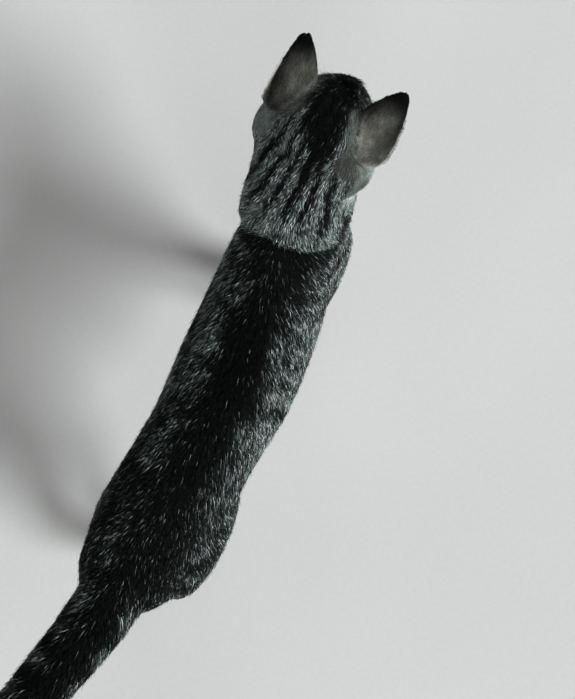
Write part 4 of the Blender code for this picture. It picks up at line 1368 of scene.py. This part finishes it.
def add_lids():
    """The dark rims of the eyelids, along the openings on the eyeballs."""
    material = tinted_surface("lid_leather", 0.35, *LEATHER_GRAIN)
    turns = circle(LID_STEPS)
    along = EYE_OPENING[0] * np.cos(turns)
    across = lids_height(along) * np.sign(np.sin(turns))
    for tag, side in SIDES.items():
        left = (along * math.cos(EYE_SLANT) - across * math.sin(EYE_SLANT)) * side
        up = along * math.sin(EYE_SLANT) + across * math.cos(EYE_SLANT)
        ahead = np.sqrt((EYE_RADIUS + 0.35) ** 2 - left ** 2 - up ** 2)
        line = np.stack([ahead, left, up], axis=1)
        line = (line + np.roll(line, 1, axis=0) + np.roll(line, -1, axis=0)) / 3
        outward = unit(line)
        forward = unit(np.roll(line, -1, axis=0) - np.roll(line, 1, axis=0))
        rim = spokes(np.cross(outward, forward) * LID_WIDENING, outward, LID_SIDES) * LID_ROUND
        rings = EYE_CENTRE[side] + (line[:, None] + rim) * MM @ eye_axes(side)
        lids = ringed(f"lids_{tag}", rings, closed=True)
        paint(lids, "tint", LEATHER)
        place_piece(lids, material, "nose_leather")


def add_nose():
    """The nose leather: broad above, narrow below, with a groove and two nostrils."""
    polar = np.linspace(0.02, 2.5, NOSE_RINGS)
    ahead, left, up = (ball(polar, NOSE_SIDES) * NOSE_RADII).transpose(2, 0, 1)
    left = left * (1 - 0.55 * ramp(-up, -1.5, 4.2))
    up = np.where(up > 0, up * 0.82, up)
    nostril = bell(np.hypot(np.abs(left) - 2.7, (up + 0.7) * 1.2), 0, 1.0)
    slot = bell(np.hypot(np.abs(left) - 4.1, up - 0.1), 0, 0.9)
    groove = bell(left, 0, 0.45) * (1 - ramp(up, 0.5, 2.0))
    ahead = ahead * 0.8 - 0.4 - (ahead > -1) * (2.0 * nostril + 1.1 * slot + 0.45 * groove)
    head = np.stack([ahead, left, up], axis=2) + NOSE_PLACE
    nose = ringed("nose_leather", from_head(head))
    # The nostrils, the slits beside them and the groove are painted darker, painted shade in these hollows;
    # the leather also darkens towards its edge.
    dark = 1.3 * nostril + slot + 0.6 * groove + 0.8 * ramp(polar, 1.0, 1.5)[:, None]
    paint(nose, "tint", mix(BRICK, LEATHER * 0.8, np.clip(dark, 0, 1).reshape(-1, 1)))
    place_piece(nose, tinted_surface("nose", 0.38, *LEATHER_GRAIN), "nose_leather", "nose")


HORN = ("horn", 0.35, 700.0, 0.85, 1.1)         # name, roughness, scale and tones
WHISKER_ROWS = WHISKER_COLUMNS = BROW_HAIRS = 4
ROOT_DEPTH = 0.5         # how far under the skin a whisker starts
WHISKER_TINT = (0.72, 0.71, 0.68)
CLAW_TINT = (0.20, 0.17, 0.14)
# Each claw: its place across the paw, as a part of its width, and metres behind its front.
CLAWS = ((-0.36, 0.008), (-0.13, 0.004), (0.13, 0.004), (0.36, 0.008))
CLAW_HEIGHT, CLAW_LENGTH = 0.0075, 3.4           # metres, and millimetres


def add_whiskers():
    rods = []
    for side in (LEFT, RIGHT):
        for row, column in itertools.product(range(WHISKER_ROWS), range(WHISKER_COLUMNS)):
            at = WHISKER_PADS + (2.5 - 2.6 * column, 1.5 + 1.1 * column, 4.2 - 2.6 * row)
            way = unit(np.array([-0.15 - 0.12 * column, side, 0.30 - 0.26 * row])) @ HEAD_AXES
            bend = np.array([-0.45, -0.10 * side, -0.22]) @ HEAD_AXES
            length = (27 + 4.5 * column - 2 * abs(row - 1.5)) * random.uniform(0.88, 1.08)
            rods.append(rod(from_head(at * (1, side, 1)), ROOT_DEPTH, way, bend, length, (0.26, 0.04)))
        for number in range(BROW_HAIRS):
            at = (EYE_PLACE[0] + 8, side * (EYE_PLACE[1] - 5 + 2.2 * number), EYE_PLACE[2] + 10.5)
            way = unit(np.array([0.5, 0.35 * side * (number - 1), 1.0])) @ HEAD_AXES
            bend = np.array([-0.55, 0, -0.05]) @ HEAD_AXES
            rods.append(rod(from_head(at), ROOT_DEPTH, way, bend, 15 + 2 * number, (0.17, 0.03)))
    whiskers = joined("whiskers", rods)
    paint(whiskers, "tint", WHISKER_TINT)
    place_piece(whiskers, tinted_surface(*HORN), "nose_leather")


def add_claws():
    """The tips of the claws, just out of the fur of the toes."""
    rods = []
    way, bend = np.array([0, -1, -0.25]), np.array([0, 0.25, -0.75])
    for node in PAWS:
        low, high = box(node)
        for across, behind in CLAWS:
            at = np.array([(low + high)[0] / 2 + across * (high - low)[0], low[1] + behind, CLAW_HEIGHT])
            rods.append(rod(at, 1.0, way, bend, CLAW_LENGTH, (0.75, 0.08), sides=7, steps=7))
    claws = joined("claws", rods)
    paint(claws, "tint", CLAW_TINT)
    place_piece(claws, tinted_surface(*HORN), "nose_leather")


EAR_HAIRS = 190
FRINGE_HAIRS = 420


def ear_hairs(side):
    """The hairs of one ear: pale ones that sweep out over its opening from its inner edge, and
    white ones along its outer edge.  Root, up, direction, middle, tip and radii of each."""
    root, (axis, facing, outward) = ear_frame(side)
    for _ in range(EAR_HAIRS):
        height = 0.06 + 0.50 * random.random() ** 1.4
        across = -0.22 + 0.20 * random.random() ** 2 + 0.06 * height
        start = root + (axis * height + outward * across + facing * 0.02) * EAR_LENGTH * MM
        foot, up = (found[0] for found in dropped_on_skin(start[None]))
        along = unit(axis * 0.9 + outward * (0.35 + 0.35 * random.random()) + facing * 0.35)
        length = (9 + 6 * random.random()) * (1 - 0.6 * height) * MM
        half = foot + along * length * 0.5
        end = half + unit(along + outward * 0.35 - facing * 0.2) * length * 0.5
        yield foot, up, along, half, end, (0.13, 0.11)

    height, across, _, _ = ear_places(places)
    edge = ear_edge(height, across)
    rim = (edge > 0.92) & (height > 0.02) & (height < 0.74) & (np.sign(to_head(places)[:, 1]) == side)
    rim = np.flatnonzero(rim & (normals @ facing > 0.05) & (on("ear") > 0.4))
    for at in random.choice(rim, FRINGE_HAIRS):
        along = unit(axis + outward * random.uniform(0.0, 0.3))
        length = (4.2 - 2.4 * height[at]) * random.uniform(0.7, 1.2)
        half = places[at] + (along * 0.5 * length + outward * 0.7) * MM
        end = places[at] + (along * length + outward * 1.0) * MM
        yield places[at], outward, along, half, end, (0.26, 0.20)


def add_ear_hair():
    corners, roots = [], []
    for foot, up, along, half, end, radii in itertools.chain(ear_hairs(LEFT), ear_hairs(RIGHT)):
        wide, thick = (np.array([radius * MM]) for radius in radii)
        middle = ring(half[None], along[None], up[None], wide, thick)
        corners.append(np.concatenate([foot[None] - up * 0.3 * MM, *middle, end[None]]))
        roots.append(foot)
    roots = np.array(roots)
    tone = random.uniform(0.6, 1.0, len(roots))[:, None, None]
    shade = np.array((0.4, 1, 1, 1, 1))[None, :, None]
    colours = np.tile(mix(WHITE, TAWNY, 0.1) * 1.2, (len(roots), 5, 1)) * tone * shade
    flat = flat_places(np.full(len(roots), ISLAND_NAMES.index("ear_left_in")), roots)
    hair = joined_tufts("coat_ear_hair", np.array(corners), colours, BENT, 0.01 + 0.98 * flat)
    place_piece(hair, fur_material, "ear_coat")


fur_material = fur_surface()
skin.data.materials.append(underfur_surface())
map_skin()
add_coat()
add_ear_hair()
add_eyes()
add_lids()
add_nose()
add_whiskers()
add_claws()


# ---- the studio
CAMERA_PLACE = (-0.1160, 0.0056, 0.970)
CAMERA_TILT = math.radians(12)      # from straight down
CAMERA_ROLL = math.radians(25)      # of the body in the picture
PICTURE_FOCUS = 1.502               # focal length in picture heights
FLOOR_HALF = 60
# Each sun: where it stands from the cat, its strength, its width in degrees and its colour.
SUNS = {
    "key": ((-1.50, 0.10, 0.92), 3.3, 24, (0.94, 0.98, 1.0)),
    "back": ((-0.9, 1.2, 1.1), 0.7, 40, (0.96, 1.0, 0.98)),
    "front": ((0.35, -1.6, 0.9), 0.30, 50, (1.0, 0.98, 0.95)),
}
WALL_TOP = (0.10, 0.30)             # heights, as sines, between which the walls meet the ceiling
WALLS, CEILING = 0.72, 0.10         # brightness


def add_camera():
    across = Vector((-math.cos(CAMERA_ROLL), -math.sin(CAMERA_ROLL), 0))
    ahead = Vector((math.sin(CAMERA_ROLL), -math.cos(CAMERA_ROLL), 0))
    top = ahead * math.cos(CAMERA_TILT) + Vector((0, 0, math.sin(CAMERA_TILT)))
    camera = linked("camera", bpy.data.cameras.new("camera"))
    camera.data.lens = camera.data.sensor_width * PICTURE_FOCUS
    camera.data.clip_start = 0.01
    turn = Matrix((across, top, across.cross(top))).transposed()
    camera.matrix_world = Matrix.Translation(CAMERA_PLACE) @ turn.to_4x4()
    bpy.context.scene.camera = camera


def add_sun(name, towards, strength, width, colour):
    light = linked(name, bpy.data.lights.new(name, "SUN"))
    light.data.energy = strength
    light.data.angle = math.radians(width)
    light.data.color = colour
    light.rotation_euler = Vector(towards).to_track_quat("Z", "Y").to_euler()


def add_world():
    """A dim ceiling over pale walls, for a soft light from all round."""
    world = bpy.data.worlds.new("studio")
    bpy.context.scene.world = world
    world.use_nodes = True
    tree = world.node_tree
    direction = tree.nodes.new("ShaderNodeTexCoord").outputs["Generated"]
    parts = tree.nodes.new("ShaderNodeSeparateXYZ")
    height = tree.nodes.new("ShaderNodeMapRange")
    height.interpolation_type = "SMOOTHSTEP"
    ends = {"From Min": WALL_TOP[0], "From Max": WALL_TOP[1], "To Min": WALLS, "To Max": CEILING}
    for name, value in ends.items():
        height.inputs[name].default_value = value
    background = tree.nodes["Background"]
    background.inputs["Color"].default_value = (0.95, 0.97, 1, 1)
    tree.links.new(direction, parts.inputs[0])
    tree.links.new(parts.outputs["Z"], height.inputs["Value"])
    tree.links.new(height.outputs[0], background.inputs["Strength"])


def floor_surface():
    surface = Surface("floor", Roughness=0.9, Specular_IOR_Level=0.08)
    cloud, grit = surface.spots(3.0, 2.0), surface.spots(260.0, 2.0)
    colour = surface.toned((0.82, 0.81, 0.79, 1), cloud, 0.975, 1.02)
    surface.give(Base_Color=surface.toned(colour, grit, 0.985, 1.01))
    surface.bump(grit, 0.0002, 0.3)
    return surface.material


def add_studio():
    corners = np.array(((-1, -1, 0), (1, -1, 0), (1, 1, 0), (-1, 1, 0))) * FLOOR_HALF
    floor = mesh_object("floor", corners, [(0, 1, 2, 3)])
    floor.data.materials.append(floor_surface())
    bpy.context.scene.view_settings.view_transform = "Standard"
    for name, sun in SUNS.items():
        add_sun(name, *sun)


add_camera()
add_world()
add_studio()
